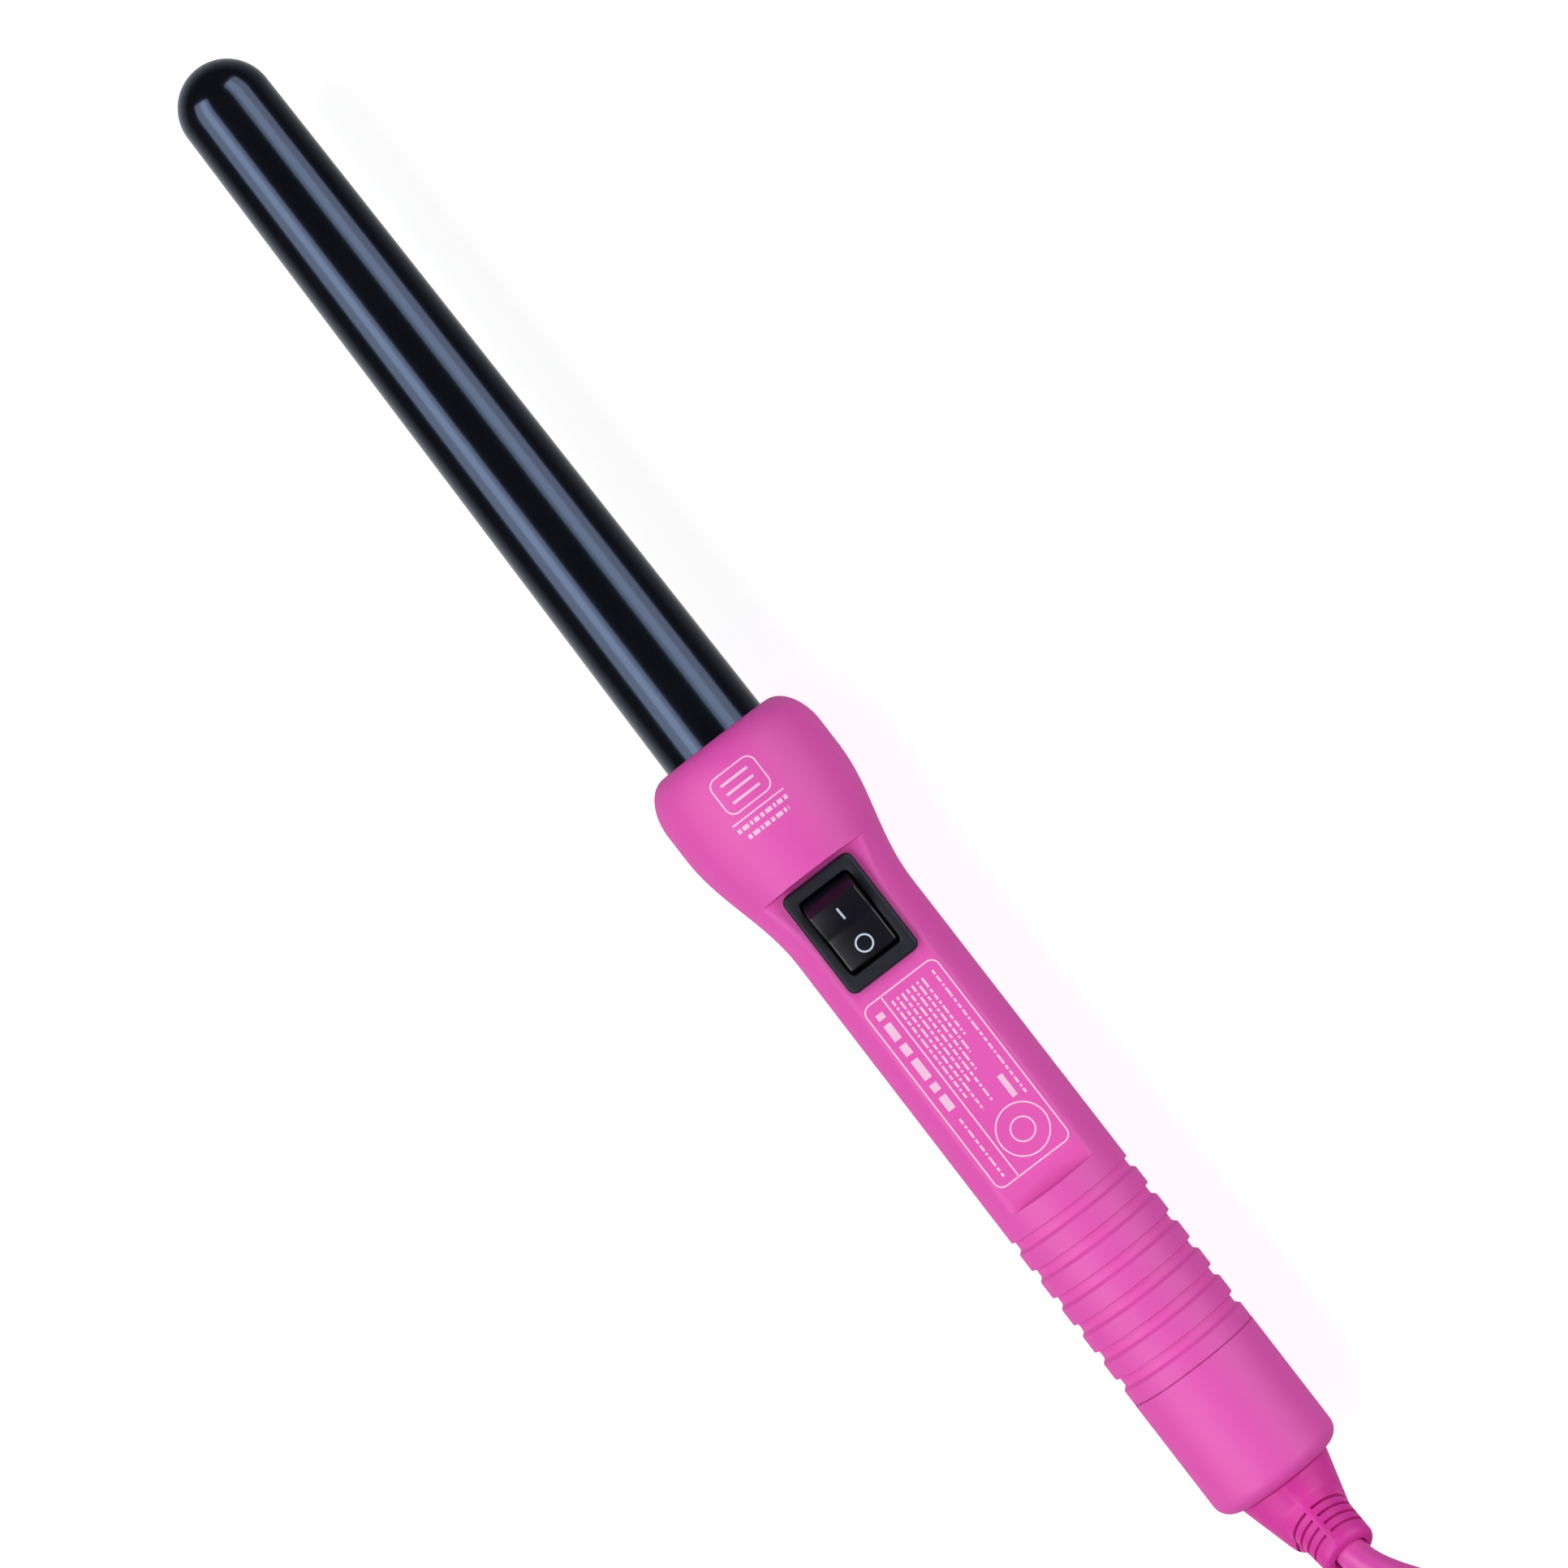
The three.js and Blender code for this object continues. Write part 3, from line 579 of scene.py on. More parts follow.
def ribRadius(u, s):
    height = s["ribCrown"] - s["ribFloor"]
    if u < s["ribFall"]:
        return s["ribCrown"] - height * smoothStep(u / s["ribFall"])
    if u < s["riseStart"]:
        return s["ribFloor"]
    return s["ribFloor"] + height * smoothStep((u - s["riseStart"]) / s["riseLength"])


def cutsAlong(spans, extra=()):
    return sorted([x for span in spans for x in np.arange(*span)] + list(extra))


def outerProfile(s, cuts):
    shoulder = [(s["crownStart"] - (s["crownStart"] - s["rim"]) * math.cos(math.radians(a)),
                 s["rimRadius"] + (s["crown"] - s["rimRadius"]) * math.sin(math.radians(a)))
                for a in np.linspace(0, 90, 31)]
    rim = arc(s["rim"] + s["rimRound"], s["mouth"] + s["rimRound"], s["rimRound"], 270, 180, 5)
    crown = [(s["crownEnd"], s["crown"])]
    slope = [(x, s["crown"] - (s["crown"] - s["gripRadius"])
              * (1 - math.cos(math.pi * (x - s["crownEnd"]) / (s["gripStart"]
                                                               - s["crownEnd"]))) / 2)
             for x in cutsAlong(cuts["slope"])]
    perMm = (s["gripEndRadius"] - s["gripRadius"]) / (s["ribStart"] - s["gripStart"])
    grip = [(x, s["gripRadius"] + perMm * (x - s["gripStart"]))
            for x in cutsAlong(cuts["grip"], cuts["gripExtra"])]
    ribs = [(s["ribStart"] + i * s["ribPitch"] + u, ribRadius(u, s)) for i in range(s["ribCount"])
            for u in cuts["rib"]]
    ribs[0] = (s["ribStart"], s["gripEndRadius"])
    r = s["jointRound"]
    end = arc(s["jointX"] - r, s["ribCrown"] - r, r, 90, 0, 5)
    spigot = [(s["jointX"], s["spigotRadius"]), (s["spigotEnd"], s["spigotRadius"])]
    return rim + shoulder + crown + slope + grip + ribs + end + spigot


innerProfile = [(297, 9.8), (286, 9.8), (284, 10.5), (249.3, 10.5), (249.1, 10.5), (220, 10.5),
                (190, 10.5),
                (184, 10.9), (178, 12.1), (176.3, 12.3), (176.1, 12.3), (171.6, 12.9),
                (168.9, 13.5), (151.8, 13.5),
                (151.8, 10.65)]


def softMin(a, b, k):
    reach = max(k - abs(a - b), 0) / k
    return min(a, b) - reach * reach * k / 4


def landCut(x, s):
    # height of the flat land, with a steep wall at either end
    past = max(s["landStart"] - x, x - s["landEnd"], 0)
    return s["landHeight"] + past * s["wallSlope"]


def frontRadius(x, r, turn, s, outside):
    lean = math.cos(turn)
    if lean < 0.1:
        return r
    if outside:
        blend = s["edgeRound"] if s["landStart"] < x < s["landEnd"] else s["creaseRound"]
        near = s["landZone"][0] < x < s["landZone"][1]
        return softMin(r, landCut(x, s) / lean, blend) if near else r
    inLand = s["landStart"] - s["landWall"] < x < s["landEnd"] + s["landWall"]
    return min(r, (s["landHeight"] - s["landWall"]) / lean) if inLand else r


def rearRadius(x, r, turn, s, outside):
    lean = -math.cos(turn)
    return softMin(r, s["restFlat"] / lean, s["restRound"]) if outside and lean > 0.9 else r


def shellMesh(s, startAngle, endAngle, shape):
    outer = outerProfile(s, outlineCuts)
    profile = [(x, r, True) for x, r in outer] + [(x, r, False) for x, r in innerProfile]
    turns = [math.radians(startAngle + (endAngle - startAngle) * k / s["columns"])
             for k in range(s["columns"] + 1)]
    rings = []
    for turn in turns:
        sine, cosine = math.sin(turn), math.cos(turn)
        ring = []
        for x, r, outside in profile:
            radius = shape(x, r, turn, s, outside)
            ring.append(fromTip(x, radius * sine, radius * cosine))
        rings.append(ring)
    points, faces = loft(rings, capStart=False, capEnd=False)
    count = len(profile)
    for ring, base in ((rings[0], 0), (rings[-1], (len(rings) - 1) * count)):
        flat = [Vector((p.x, math.hypot(p.y, p.z - axisZ), 0)) for p in ring]
        faces += [tuple(base + i for i in face) for face in geometry.tessellate_polygon([flat])]
    return points, faces


def standingRods(places, sides=32):
    # round posts along z: (x, lowest z, highest z, radius)
    rods = [loft([[fromTip(x + a, b, z) for a, b in circle(radius, sides)] for z in (low, high)])
            for x, low, high, radius in places]
    return joinPieces("tool", rods, naturalNylon)


def boxTool(low, high):
    corners = [(x, y, z) for x in (low[0], high[0]) for y in (low[1], high[1])
               for z in (low[2], high[2])]
    faces = [(0, 1, 3, 2), (4, 6, 7, 5), (0, 4, 5, 1), (2, 3, 7, 6), (0, 2, 6, 4), (1, 5, 7, 3)]
    return makePiece("tool", [fromTip(*c) for c in corners], faces, naturalNylon)


def addShells(s, b):
    def atScrews(size):
        return standingRods([(x, *size) for x in s["screwX"]])

    gap = s["seamGap"]
    front = makePiece("handle_front", *shellMesh(s, -90 + gap, 90 - gap, frontRadius),
                      softTouchLacquer, slot="soft_touch_pink")
    bosses = [(x, *b["underLand" if x < s["landEnd"] else "inGrip"]) for x in s["screwX"]]
    combine(front, standingRods(bosses), "UNION")
    combine(front, atScrews(b["pilot"]), "DIFFERENCE")
    combine(front, boxTool(*b["switchHole"]), "DIFFERENCE")
    rear = makePiece("handle_rear", *shellMesh(s, 90 + gap, 270 - gap, rearRadius),
                     softTouchLacquer, slot="soft_touch_pink")
    combine(rear, atScrews(b["rear"]), "UNION")
    combine(rear, atScrews(b["headWell"]), "DIFFERENCE")
    combine(rear, atScrews(b["clearance"]), "DIFFERENCE")
    for piece, node in ((front, "front_shell"), (rear, "rear_shell")):
        resharpen(piece, 30)
        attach(piece, "handle")
        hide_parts(node)


addShells(handle, bossSettings)
print("handle shells made")


# End cap: a cup with a soft corner
capSettings = {"radius": 12.94, "start": 287.6, "end": 313.4, "corner": 3.3, "edge": 0.18,
               "wall": 3.6,
               "chamber": 11.5, "hole": 7.8, "holeRound": 0.3}


def addCap(s):
    edge = arc(s["start"] + s["edge"], s["radius"] - s["edge"], s["edge"], 180, 90, 5)
    corner = arc(s["end"] - s["corner"], s["radius"] - s["corner"], s["corner"], 90, 0, 14)
    hole = arc(s["end"] - s["holeRound"], s["hole"] + s["holeRound"], s["holeRound"], 0, -90, 3)
    profile = [(s["start"], s["chamber"])] + edge + corner + hole + [
        (s["end"] - s["wall"], s["hole"]), (s["end"] - s["wall"], s["chamber"])]
    turnedPiece("handle_cap", profile, softTouchLacquer, sides=144, closed=True, body="handle",
                slot="soft_touch_pink", replaces=("end_cap",))


addCap(capSettings)
print("end cap made")


# Switch: a bezel with a well, and a rocker standing at OFF
bezelSettings = {"centre": 189.375, "length": 21.15, "width": 15, "corner": 1.5, "under": 9.5,
                 "top": 11.3,
                 "round": 0.7, "bodyLength": 18.8, "bodyWidth": 12.8, "bottom": -2.5,
                 "wellCentre": 189.2, "wellLength": 15.85, "wellWidth": 10.7, "wellCorner": 0.8,
                 "floor": -1.3, "bodyCorner": 0.8, "overlap": 0.05, "cornerShare": 0.4,
                 "wellRound": 0.35}
rockerSettings = {"pivot": (189.2, 0, 8.7), "tilt": 14, "width": 10.1, "ridge": 6.1,
                  "ridgeHeight": 5.0,
                  "endRadius": 7.6, "middle": 3.48, "edge": 0.45, "endTurns": (34, -18),
                  "valley": (0.9, 0.45), "valleyLift": 0.06, "valleyShare": 0.93,
                  "valleyFloor": 0.12, "markPlace": 3.4, "bar": (2.7, 0.42, 0.1),
                  "ringRadii": (1.7, 1.36), "inkLift": 0.02, "inkHeights": (-0.05, 0.03)}


def roundedRectangle(centre, length, width, corner, steps=6):
    outline = []
    for cx, cy, start in ((1, 1, 0), (-1, 1, 90), (-1, -1, 180), (1, -1, 270)):
        for i in range(steps + 1):
            t = math.radians(start + 90 * i / steps)
            outline.append((centre + cx * (length / 2 - corner) + corner * math.cos(t),
                            cy * (width / 2 - corner) + corner * math.sin(t)))
    return outline


def addBezel(s):
    def ring(centre, length, width, corner, z):
        return [fromTip(x, y, z) for x, y in roundedRectangle(centre, length, width, corner)]

    under = s["under"] + s["overlap"]
    rings = [ring(s["centre"], s["bodyLength"], s["bodyWidth"], s["bodyCorner"], s["bottom"]),
             ring(s["centre"], s["bodyLength"], s["bodyWidth"], s["bodyCorner"], under),
             ring(s["centre"], s["length"], s["width"], s["corner"], under)]
    for i in range(6):
        t = math.radians(90 * i / 5)
        inset = s["round"] * (1 - math.cos(t))
        rings.append(ring(s["centre"], s["length"] - 2 * inset, s["width"] - 2 * inset,
                          s["corner"] - s["cornerShare"] * inset,
                          s["top"] - s["round"] + s["round"] * math.sin(t)))
    for i in range(4):
        t = math.radians(90 * i / 3)
        grow = s["wellRound"] * (1 - math.sin(t))
        rings.append(ring(s["wellCentre"], s["wellLength"] + 2 * grow, s["wellWidth"] + 2 * grow,
                          s["wellCorner"] + grow,
                          s["top"] - s["wellRound"] * (1 - math.cos(t))))
    rings.append(ring(s["wellCentre"], s["wellLength"], s["wellWidth"], s["wellCorner"],
                      s["floor"]))
    makePiece("switch_bezel", *loft(rings), slateNylon, body="handle", slot="switch_slate",
              replaces=("switch_frame",))


def pivotMatrix(s):
    place = Matrix.Translation(fromTip(*s["pivot"]))
    return place @ Matrix.Rotation(math.radians(s["tilt"]), 4, "Y") @ Matrix.Scale(mm, 4)


def addRocker(s):
    left = [(-s["endRadius"] * math.cos(math.radians(a)),
             s["endRadius"] * math.sin(math.radians(a)))
            for a in np.linspace(*s["endTurns"], 10)]
    right = [(-x, z) for x, z in reversed(left)]
    valley = [(x, s["middle"] + s["valleyLift"]
               + abs(x) * (s["ridgeHeight"] - s["middle"]) / s["ridge"] * s["valleyShare"])
              for x in s["valley"]] + [(0, s["middle"] + s["valleyFloor"])]
    valley += [(-x, z) for x, z in reversed(valley[:-1])]
    outline = [(-s["ridge"], s["ridgeHeight"])] + left + right + [(s["ridge"],
                                                                   s["ridgeHeight"])] + valley
    half = s["width"] / 2
    matrix = pivotMatrix(s)
    rings = [[matrix @ Vector((x, y, z)) for x, z in outline] for y in (-half, half)]
    rocker = makePiece("rocker_paddle", *loft(rings), satinPolycarbonate, slot="rocker_black")
    edges = rocker.modifiers.new("edges", "BEVEL")
    edges.width = s["edge"] * mm
    edges.segments = 3
    edges.limit_method = "ANGLE"
    edges.angle_limit = math.radians(40)
    applyModifiers(rocker)
    resharpen(rocker, 40)
    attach(rocker, "rocker")
    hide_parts("rocker")
    # I is a bar along the rocker and O is a ring, each lying on its own half's face
    faceSlope = math.atan2(s["ridgeHeight"] - s["middle"], s["ridge"])
    outer, inner = (circle(radius, 40) for radius in s["ringRadii"])
    low, high = s["inkHeights"]
    for name, x, outline, hole in (
            ("mark_on", -s["markPlace"], roundedRectangle(0, *s["bar"], 2), None),
            ("mark_off", s["markPlace"], outer, inner)):
        lean = -faceSlope if x < 0 else faceSlope
        z = s["middle"] + abs(x) * math.tan(faceSlope) + s["inkLift"]
        turn = matrix @ Matrix.Translation((x, 0, z)) @ Matrix.Rotation(-lean, 4, "Y")
        places = [[turn @ Vector((a, b, h)) for a, b in outline] for h in (low, high)]
        if hole:
            places += [[turn @ Vector((a, b, h)) for a, b in hole] for h in (high, low)]
        makePiece(name, *loft(places, closedAlong=bool(hole)), whiteInk, body="rocker",
                  slot="rocker_black")


addBezel(bezelSettings)
addRocker(rockerSettings)
print("switch made")


# Printed marks: plain frames, bars, dashes and rings, with no lettering
printSettings = {
    "line": 0.3, "dash": 0.42, "dashGap": 0.38, "inkDepth": 0.03,
    "dashLengths": (1.1, 0.6, 1.7, 0.9, 1.3, 0.5, 2.0, 0.8),
    "panel": {"start": 202.8, "end": 242.5, "halfWidth": 7.95, "corner": 1.6, "divider": -3.75},
    "rows": {"sides": (-2.6, -1.5, -0.4, 0.7, 1.8, 2.9, 4.0), "start": 204.6,
             "ends": (226, 229.5, 224, 229, 223, 220, 217)},
    "longRow": {"side": 6.3, "start": 204.6, "end": 231.5},
    "bars": {"side": -5.85, "start": 205, "gap": 1.1, "lengths": (1.2, 3.4, 2.2, 4.2, 1.6, 3.0),
             "width": 1.5},
    "ring": {"centre": (236.3, 1.9), "radii": (4.8, 2.2)},
    "block": {"centre": (228.6, 4.4), "length": 4.6, "width": 1.1},
    "collarFrame": {"start": 154.9, "end": 162.1, "halfWidth": 4.7, "corner": 1.7},
    "collarBars": {"places": (156.7, 158.5, 160.3), "halfWidths": (2.9, 2.9, 2.9), "width": 0.5},
    "collarLine": {"place": 163.5, "halfWidth": 5.6},
    "collarDashes": {"places": (164.9, 166.7), "halfWidths": (5.4, 4.4), "width": 0.8,
                     "lengths": (0.7, 1.3, 0.5, 1.0)},
}


def surfaceHeight(x, y):
    if x > handle["landStart"]:
        return handle["landHeight"]
    return math.sqrt(np.interp(x, collarProfile[0], collarProfile[1]) ** 2 - y * y)


def inkBand(route, width, closed=False):
    # a flat strip of ink along a route of (x, y), a little sunk into the surface
    depth, half = printSettings["inkDepth"], width / 2
    count = len(route)
    rings = []
    for i, (x, y) in enumerate(route):
        before = route[i - 1] if i or closed else route[i]
        after = route[(i + 1) % count] if i < count - 1 or closed else route[i]
        way = Vector((after[0] - before[0], after[1] - before[1])).normalized() * half
        edges = ((x - way.y, y + way.x), (x + way.y, y - way.x))
        low = [fromTip(a, b, surfaceHeight(a, b) - depth) for a, b in edges]
        high = [fromTip(a, b, surfaceHeight(a, b) + depth) for a, b in reversed(edges)]
        rings.append(low + high)
    return loft(rings, closedAlong=closed)


def lineRoute(start, end, steps=10):
    return [(start[0] + (end[0] - start[0]) * i / steps, start[1] + (end[1] - start[1]) * i / steps)
            for i in range(steps + 1)]


def dashes(start, end, width, lengths):
    # broken line whose dash lengths repeat in turn, in millimetres
    way = Vector(end) - Vector(start)
    total, at, bands, i = way.length, 0.0, [], 0
    way = way / total
    while at < total:
        stop = min(at + lengths[i % len(lengths)], total)
        bands.append(inkBand(lineRoute(tuple(Vector(start) + way * at),
                                       tuple(Vector(start) + way * stop), 3), width))
        at = stop + printSettings["dashGap"]
        i += 1
    return bands


def frameRoute(s):
    middle, length = (s["start"] + s["end"]) / 2, s["end"] - s["start"]
    corners = roundedRectangle(middle, length, 2 * s["halfWidth"], s["corner"], 8)
    route = []
    for a, b in zip(corners, corners[1:] + corners[:1]):
        steps = max(int(math.dist(a, b) / 1.0), 1)
        route += lineRoute(a, b, steps)[:-1]
    return route


def addPrint(s):
    line, dash = s["line"], s["dash"]
    panel, rows, bars, ring, block = s["panel"], s["rows"], s["bars"], s["ring"], s["block"]
    bands = [inkBand(frameRoute(panel), line, closed=True)]
    bands.append(inkBand(lineRoute((panel["start"], panel["divider"]),
                                   (panel["end"], panel["divider"]), 30), line))
    lengths = s["dashLengths"]
    for i, (side, end) in enumerate(zip(rows["sides"], rows["ends"])):
        bands += dashes((rows["start"], side), (end, side), dash, lengths[i:] + lengths[:i])
    longRow = s["longRow"]
    bands += dashes((longRow["start"], longRow["side"]), (longRow["end"], longRow["side"]), dash,
                    lengths[3:])
    at = bars["start"]
    for length in bars["lengths"]:
        bands.append(inkBand(lineRoute((at, bars["side"]), (at + length, bars["side"]), 4),
                             bars["width"]))
        at += length + bars["gap"]
    bands += dashes((at + 1, bars["side"]), (panel["end"] - 1.6, bars["side"]), dash, lengths)
    for radius in ring["radii"]:
        bands.append(inkBand([(ring["centre"][0] + x, ring["centre"][1] + y) for x,
                              y in circle(radius, 48)],
                             line, closed=True))
    x, y = block["centre"]
    bands.append(inkBand(lineRoute((x - block["length"] / 2, y), (x + block["length"] / 2, y), 4),
                         block["width"]))
    bands.append(inkBand(frameRoute(s["collarFrame"]), line, closed=True))
    for place, half in zip(s["collarBars"]["places"], s["collarBars"]["halfWidths"]):
        bands.append(inkBand(lineRoute((place, -half), (place, half)), s["collarBars"]["width"]))
    place, half = s["collarLine"]["place"], s["collarLine"]["halfWidth"]
    bands.append(inkBand(lineRoute((place, -half), (place, half), 14), line))
    for place, half in zip(s["collarDashes"]["places"], s["collarDashes"]["halfWidths"]):
        bands += dashes((place, -half), (place, half), s["collarDashes"]["width"],
                        s["collarDashes"]["lengths"])
    marks = joinPieces("print_marks", bands, padPrintInk)
    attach(marks, "handle")


collarProfile = np.array([(x, r) for x, r in outerProfile(handle, outlineCuts)
                          if x < handle["landStart"]][6:]).T
addPrint(printSettings)
print("marks printed")


# Strain relief: cone and slanting sleeve blended together, a raised spine, slots and a cord hole
reliefSettings = {"start": 313.5, "radius": 9.3, "voxel": 0.2, "slots": 4, "slotPitch": 1.9,
                  "firstSlot": 3.1,
                  "slotWidth": 0.6, "slotDepth": 0.6, "spine": 0.5, "spineSunk": 0.26, "lip": 1.3,
                  "coneEnd": [(324, 6.5), (325.4, 6.0), (326.3, 5.2), (326.9, 4.0), (327.1, 2.4),
                              (327.1, 0)],
                  "rootBulge": ((3, -1.0), (4, 0.15), (6, 0.25), (9, 0)), "slotTurns": (6, 150),
                  "spineMiddle": (317.2, 0.1, 8.35), "spinePlaces": (7.5, 10, 13),
                  "bore": ((-9, 3.02), (-2, 3.02), (-0.9, 3.15), (-0.3, 3.35), (0.5, 3.9))}


def sleeveFrame(t):
    # matrix whose z runs along the sleeve and whose x points up out of it
    up = (Vector((0, 0, 1)) - sleeveWay * sleeveWay.z).normalized()
    side = sleeveWay.cross(up)
    turn = Matrix((up, side, sleeveWay)).transposed().to_4x4()
    return Matrix.Translation(sleevePoint(t)) @ turn @ Matrix.Scale(mm, 4)


def addRelief(s):
    rootEnd = s["start"]
    cone = turned([(rootEnd, 0), (rootEnd, s["radius"] - 0.2), (rootEnd + 0.25, s["radius"])]
                  + s["coneEnd"], 72)
    length, root, end = sleeve["length"], sleeve["root"], sleeve["end"]
    sleeveRings = []
    lip = s["lip"]
    bulge = [(t, root + rise) for t, rise in s["rootBulge"]] + [(length - lip, end)]
    for t, r in bulge + [(length - lip + lip * math.sin(a), end - lip * (1 - math.cos(a)))
                         for a in np.radians([15, 30, 45, 60, 75, 90])]:
        place = sleeveFrame(t)
        sleeveRings.append([place @ Vector((x, y, 0)) for x, y in circle(r, 72)])
    sunk = s["spineSunk"]
    x, y, z = s["spineMiddle"]
    spineTop = [fromTip(rootEnd + 0.2, 0, s["radius"] - 0.1 - sunk), fromTip(x, y, z - sunk)]
    spineTop += [sleeveFrame(t) @ Vector((root + (end - root) * t / length - sunk, 0, 0))
                 for t in (*s["spinePlaces"], length - 1.2)]
    spineRings = tubeRings(smoothLine(spineTop, 0.5 * mm), s["spine"] * mm, 10)
    relief = joinPieces("cord_outlet", [loft(cone, capStart=False, capEnd=False), loft(sleeveRings),
                                        loft(spineRings)], flexiblePvc)
    remesh = relief.modifiers.new("remesh", "REMESH")
    remesh.mode = "VOXEL"
    remesh.voxel_size = s["voxel"] * mm
    smooth = relief.modifiers.new("smooth", "SMOOTH")
    smooth.factor = 0.5
    smooth.iterations = 4
    applyModifiers(relief)
    tools = []
    for i in range(s["slots"]):
        place = sleeveFrame(length - s["firstSlot"] - i * s["slotPitch"])
        for side in (1, -1):
            turns = np.radians(np.linspace(*s["slotTurns"], 37)) * side
            section = [(end - s["slotDepth"], -1), (end + 2, -1), (end + 2, 1),
                       (end - s["slotDepth"], 1)]
            rings = [[place @ Vector((r * math.cos(t), r * math.sin(t), h * s["slotWidth"] / 2))
                      for r, h in section]
                     for t in turns]
            tools.append(loft(rings))
    combine(relief, joinPieces("tool", tools, flexiblePvc), "DIFFERENCE")
    bore = [[sleeveFrame(length + t) @ Vector((x, y, 0)) for x, y in circle(r, 48)]
            for t, r in s["bore"]]
    combine(relief, joinPieces("tool", [loft(bore)], flexiblePvc), "DIFFERENCE")
    resharpen(relief, 38)
    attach(relief, "swivel")
    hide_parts("strain_relief")
    return relief


relief = addRelief(reliefSettings)
turnedPiece("cord_outlet_root", [(303, 0), (303, 3.1), (313.65, 3.1), (313.65, 0)], flexiblePvc,
            sides=40,
                   body="swivel", slot="cord_pvc")
print("strain relief made")


# Plug: flat two-pin moulding with a ringed boot, and part-sleeved pins
plugSettings = {"start": 443, "length": 34, "width": 34, "thickness": 13.7, "height": 31.7,
                "side": -5,
                "boot": 14, "pinSpacing": 19, "pinRadius": 2, "pinLength": 19, "sleeved": 9.5,
                "bootRings": 5,
                "body": ((0, 6.5, 5.0, 2.2), (1.5, 9.5, 5.3, 2.6), (5, 12.4, 5.8, 3),
                         (10, 14.2, 6.3, 3.4), (16, 15.8, 6.7, 3.8), (22, 16.8, 6.85, 4),
                         (31, 17, 6.85, 4.2), (33, 16.9, 6.75, 4.2), (33.7, 16.5, 6.35, 4.2),
                         (34, 15.9, 5.8, 4.2))}


def plugPoint(s, x, y, z):
    return aboveFloor(s["start"] + x, s["side"] + y, s["height"] + z)


def superRing(s, x, halfWidth, halfHeight, power, sides=72):
    ring = []
    for k in range(sides):
        t = 2 * math.pi * k / sides
        c, d = math.cos(t), math.sin(t)
        ring.append(plugPoint(s, x, math.copysign(abs(c) ** (2 / power), c) * halfWidth,
                              math.copysign(abs(d) ** (2 / power), d) * halfHeight))
    return ring


def pinRings(s, y, profile, sides=32):
    return [[plugPoint(s, x, y + a, b) for a, b in circle(r, sides)] for x, r in profile]


def addPlug(s):
    halfWidth, halfHeight = s["width"] / 2, s["thickness"] / 2
    rings = [superRing(s, -s["boot"], 3.3, 3.3, 2), superRing(s, -s["boot"], 3.9, 3.9, 2)]
    for i in range(s["bootRings"]):
        x = -s["boot"] + 0.6 + i * 2.4
        r = 4.0 + 0.22 * i
        rings += [superRing(s, x, r, r, 2), superRing(s, x + 1.3, r + 0.1, r + 0.1, 2),
                  superRing(s, x + 1.5, r - 0.7, r - 0.7, 2),
                  superRing(s, x + 2.1, r - 0.7, r - 0.7, 2)]
    for x, w, h, power in s["body"]:
        rings.append(superRing(s, x, min(w, halfWidth), min(h, halfHeight), power))
    body = makePiece("mains_plug", *loft(rings), flexiblePvc, body="handle", slot="cord_pvc",
                     replaces=("plug_body",), sharp=40)
    pieces = [body]
    for name, side in (("left", -1), ("right", 1)):
        y = side * s["pinSpacing"] / 2
        radius, end = s["pinRadius"], s["length"] + s["pinLength"] + 0.3
        profile = [(s["length"] + s["sleeved"], radius * 0.93), (s["length"] + s["sleeved"] + 0.1,
                                                                 radius),
                   (end - 1.4, radius), (end - 0.6, radius * 0.8), (end - 0.1, radius * 0.45),
                   (end, 0.15)]
        rings = pinRings(s, y, profile)
        pieces.append(makePiece("pin_" + name, *loft(rings), nickelBrass, body="handle",
                                slot="brass",
                                replaces=("plug_pin_" + name,), sharp=50))
        cover = [(s["length"] - 0.5, 1.9), (s["length"] + s["sleeved"] - 0.1, 1.9),
                 (s["length"] + s["sleeved"], 1.8)]
        rings = pinRings(s, y, cover)
        pieces.append(makePiece("pin_sleeve_" + name, *loft(rings), satinPolycarbonate,
                                body="handle",
                                slot="rocker_black", sharp=50))
    return pieces


plugPieces = addPlug(plugSettings)
print("plug made")


# Cord tie: a hook-and-loop strap round the hank's waist, its end lapped on top
tieSettings = {"width": 12, "thickness": 1.1, "halfWidth": 15.85, "top": 26.05, "corner": 3.2,
               "lap": 14,
               "edge": 0.3, "lapInset": 0.8, "lapSide": -6, "lapCorner": 1.6, "lapThickness": 0.75,
               "lapGap": 0.02}


def addTie(s):
    centre = hank["centre"]

    def section(grow, x):
        low, high = s["thickness"] - grow, s["top"] + grow
        half, corner = s["halfWidth"] + grow, s["corner"] + grow
        middle = (low + high) / 2
        outline = roundedRectangle(0, 2 * half, high - low, corner, 8)
        return [aboveFloor(centre[0] + x, centre[1] + y, middle + z) for y, z in outline]

    halfBand, thick = s["width"] / 2, s["thickness"]
    rings = [section(grow, x) for grow, x in (
        (0, -halfBand), (thick * 0.5, -halfBand - 0.1), (thick, -halfBand + s["edge"]),
        (thick, halfBand - s["edge"]),
        (thick * 0.5, halfBand + 0.1), (0, halfBand))]
    band = makePiece("hank_tie", *loft(rings, closedAlong=True), strapWeave, body="handle",
                     slot="strap_black",
                     replaces=("cord_tie",))
    bottom = s["top"] + thick + s["lapGap"]
    outline = roundedRectangle(centre[0], s["width"] - s["lapInset"], s["lap"], s["lapCorner"], 5)
    lapRings = [[aboveFloor(x, centre[1] + s["lapSide"] + y, bottom + z) for x, y in outline]
                for z in (0, s["lapThickness"])]
    lap = makePiece("hank_tie_lap", *loft(lapRings), strapWeave, body="handle", slot="strap_black")
    return [band, lap]


tiePieces = addTie(tieSettings)
print("tie made")


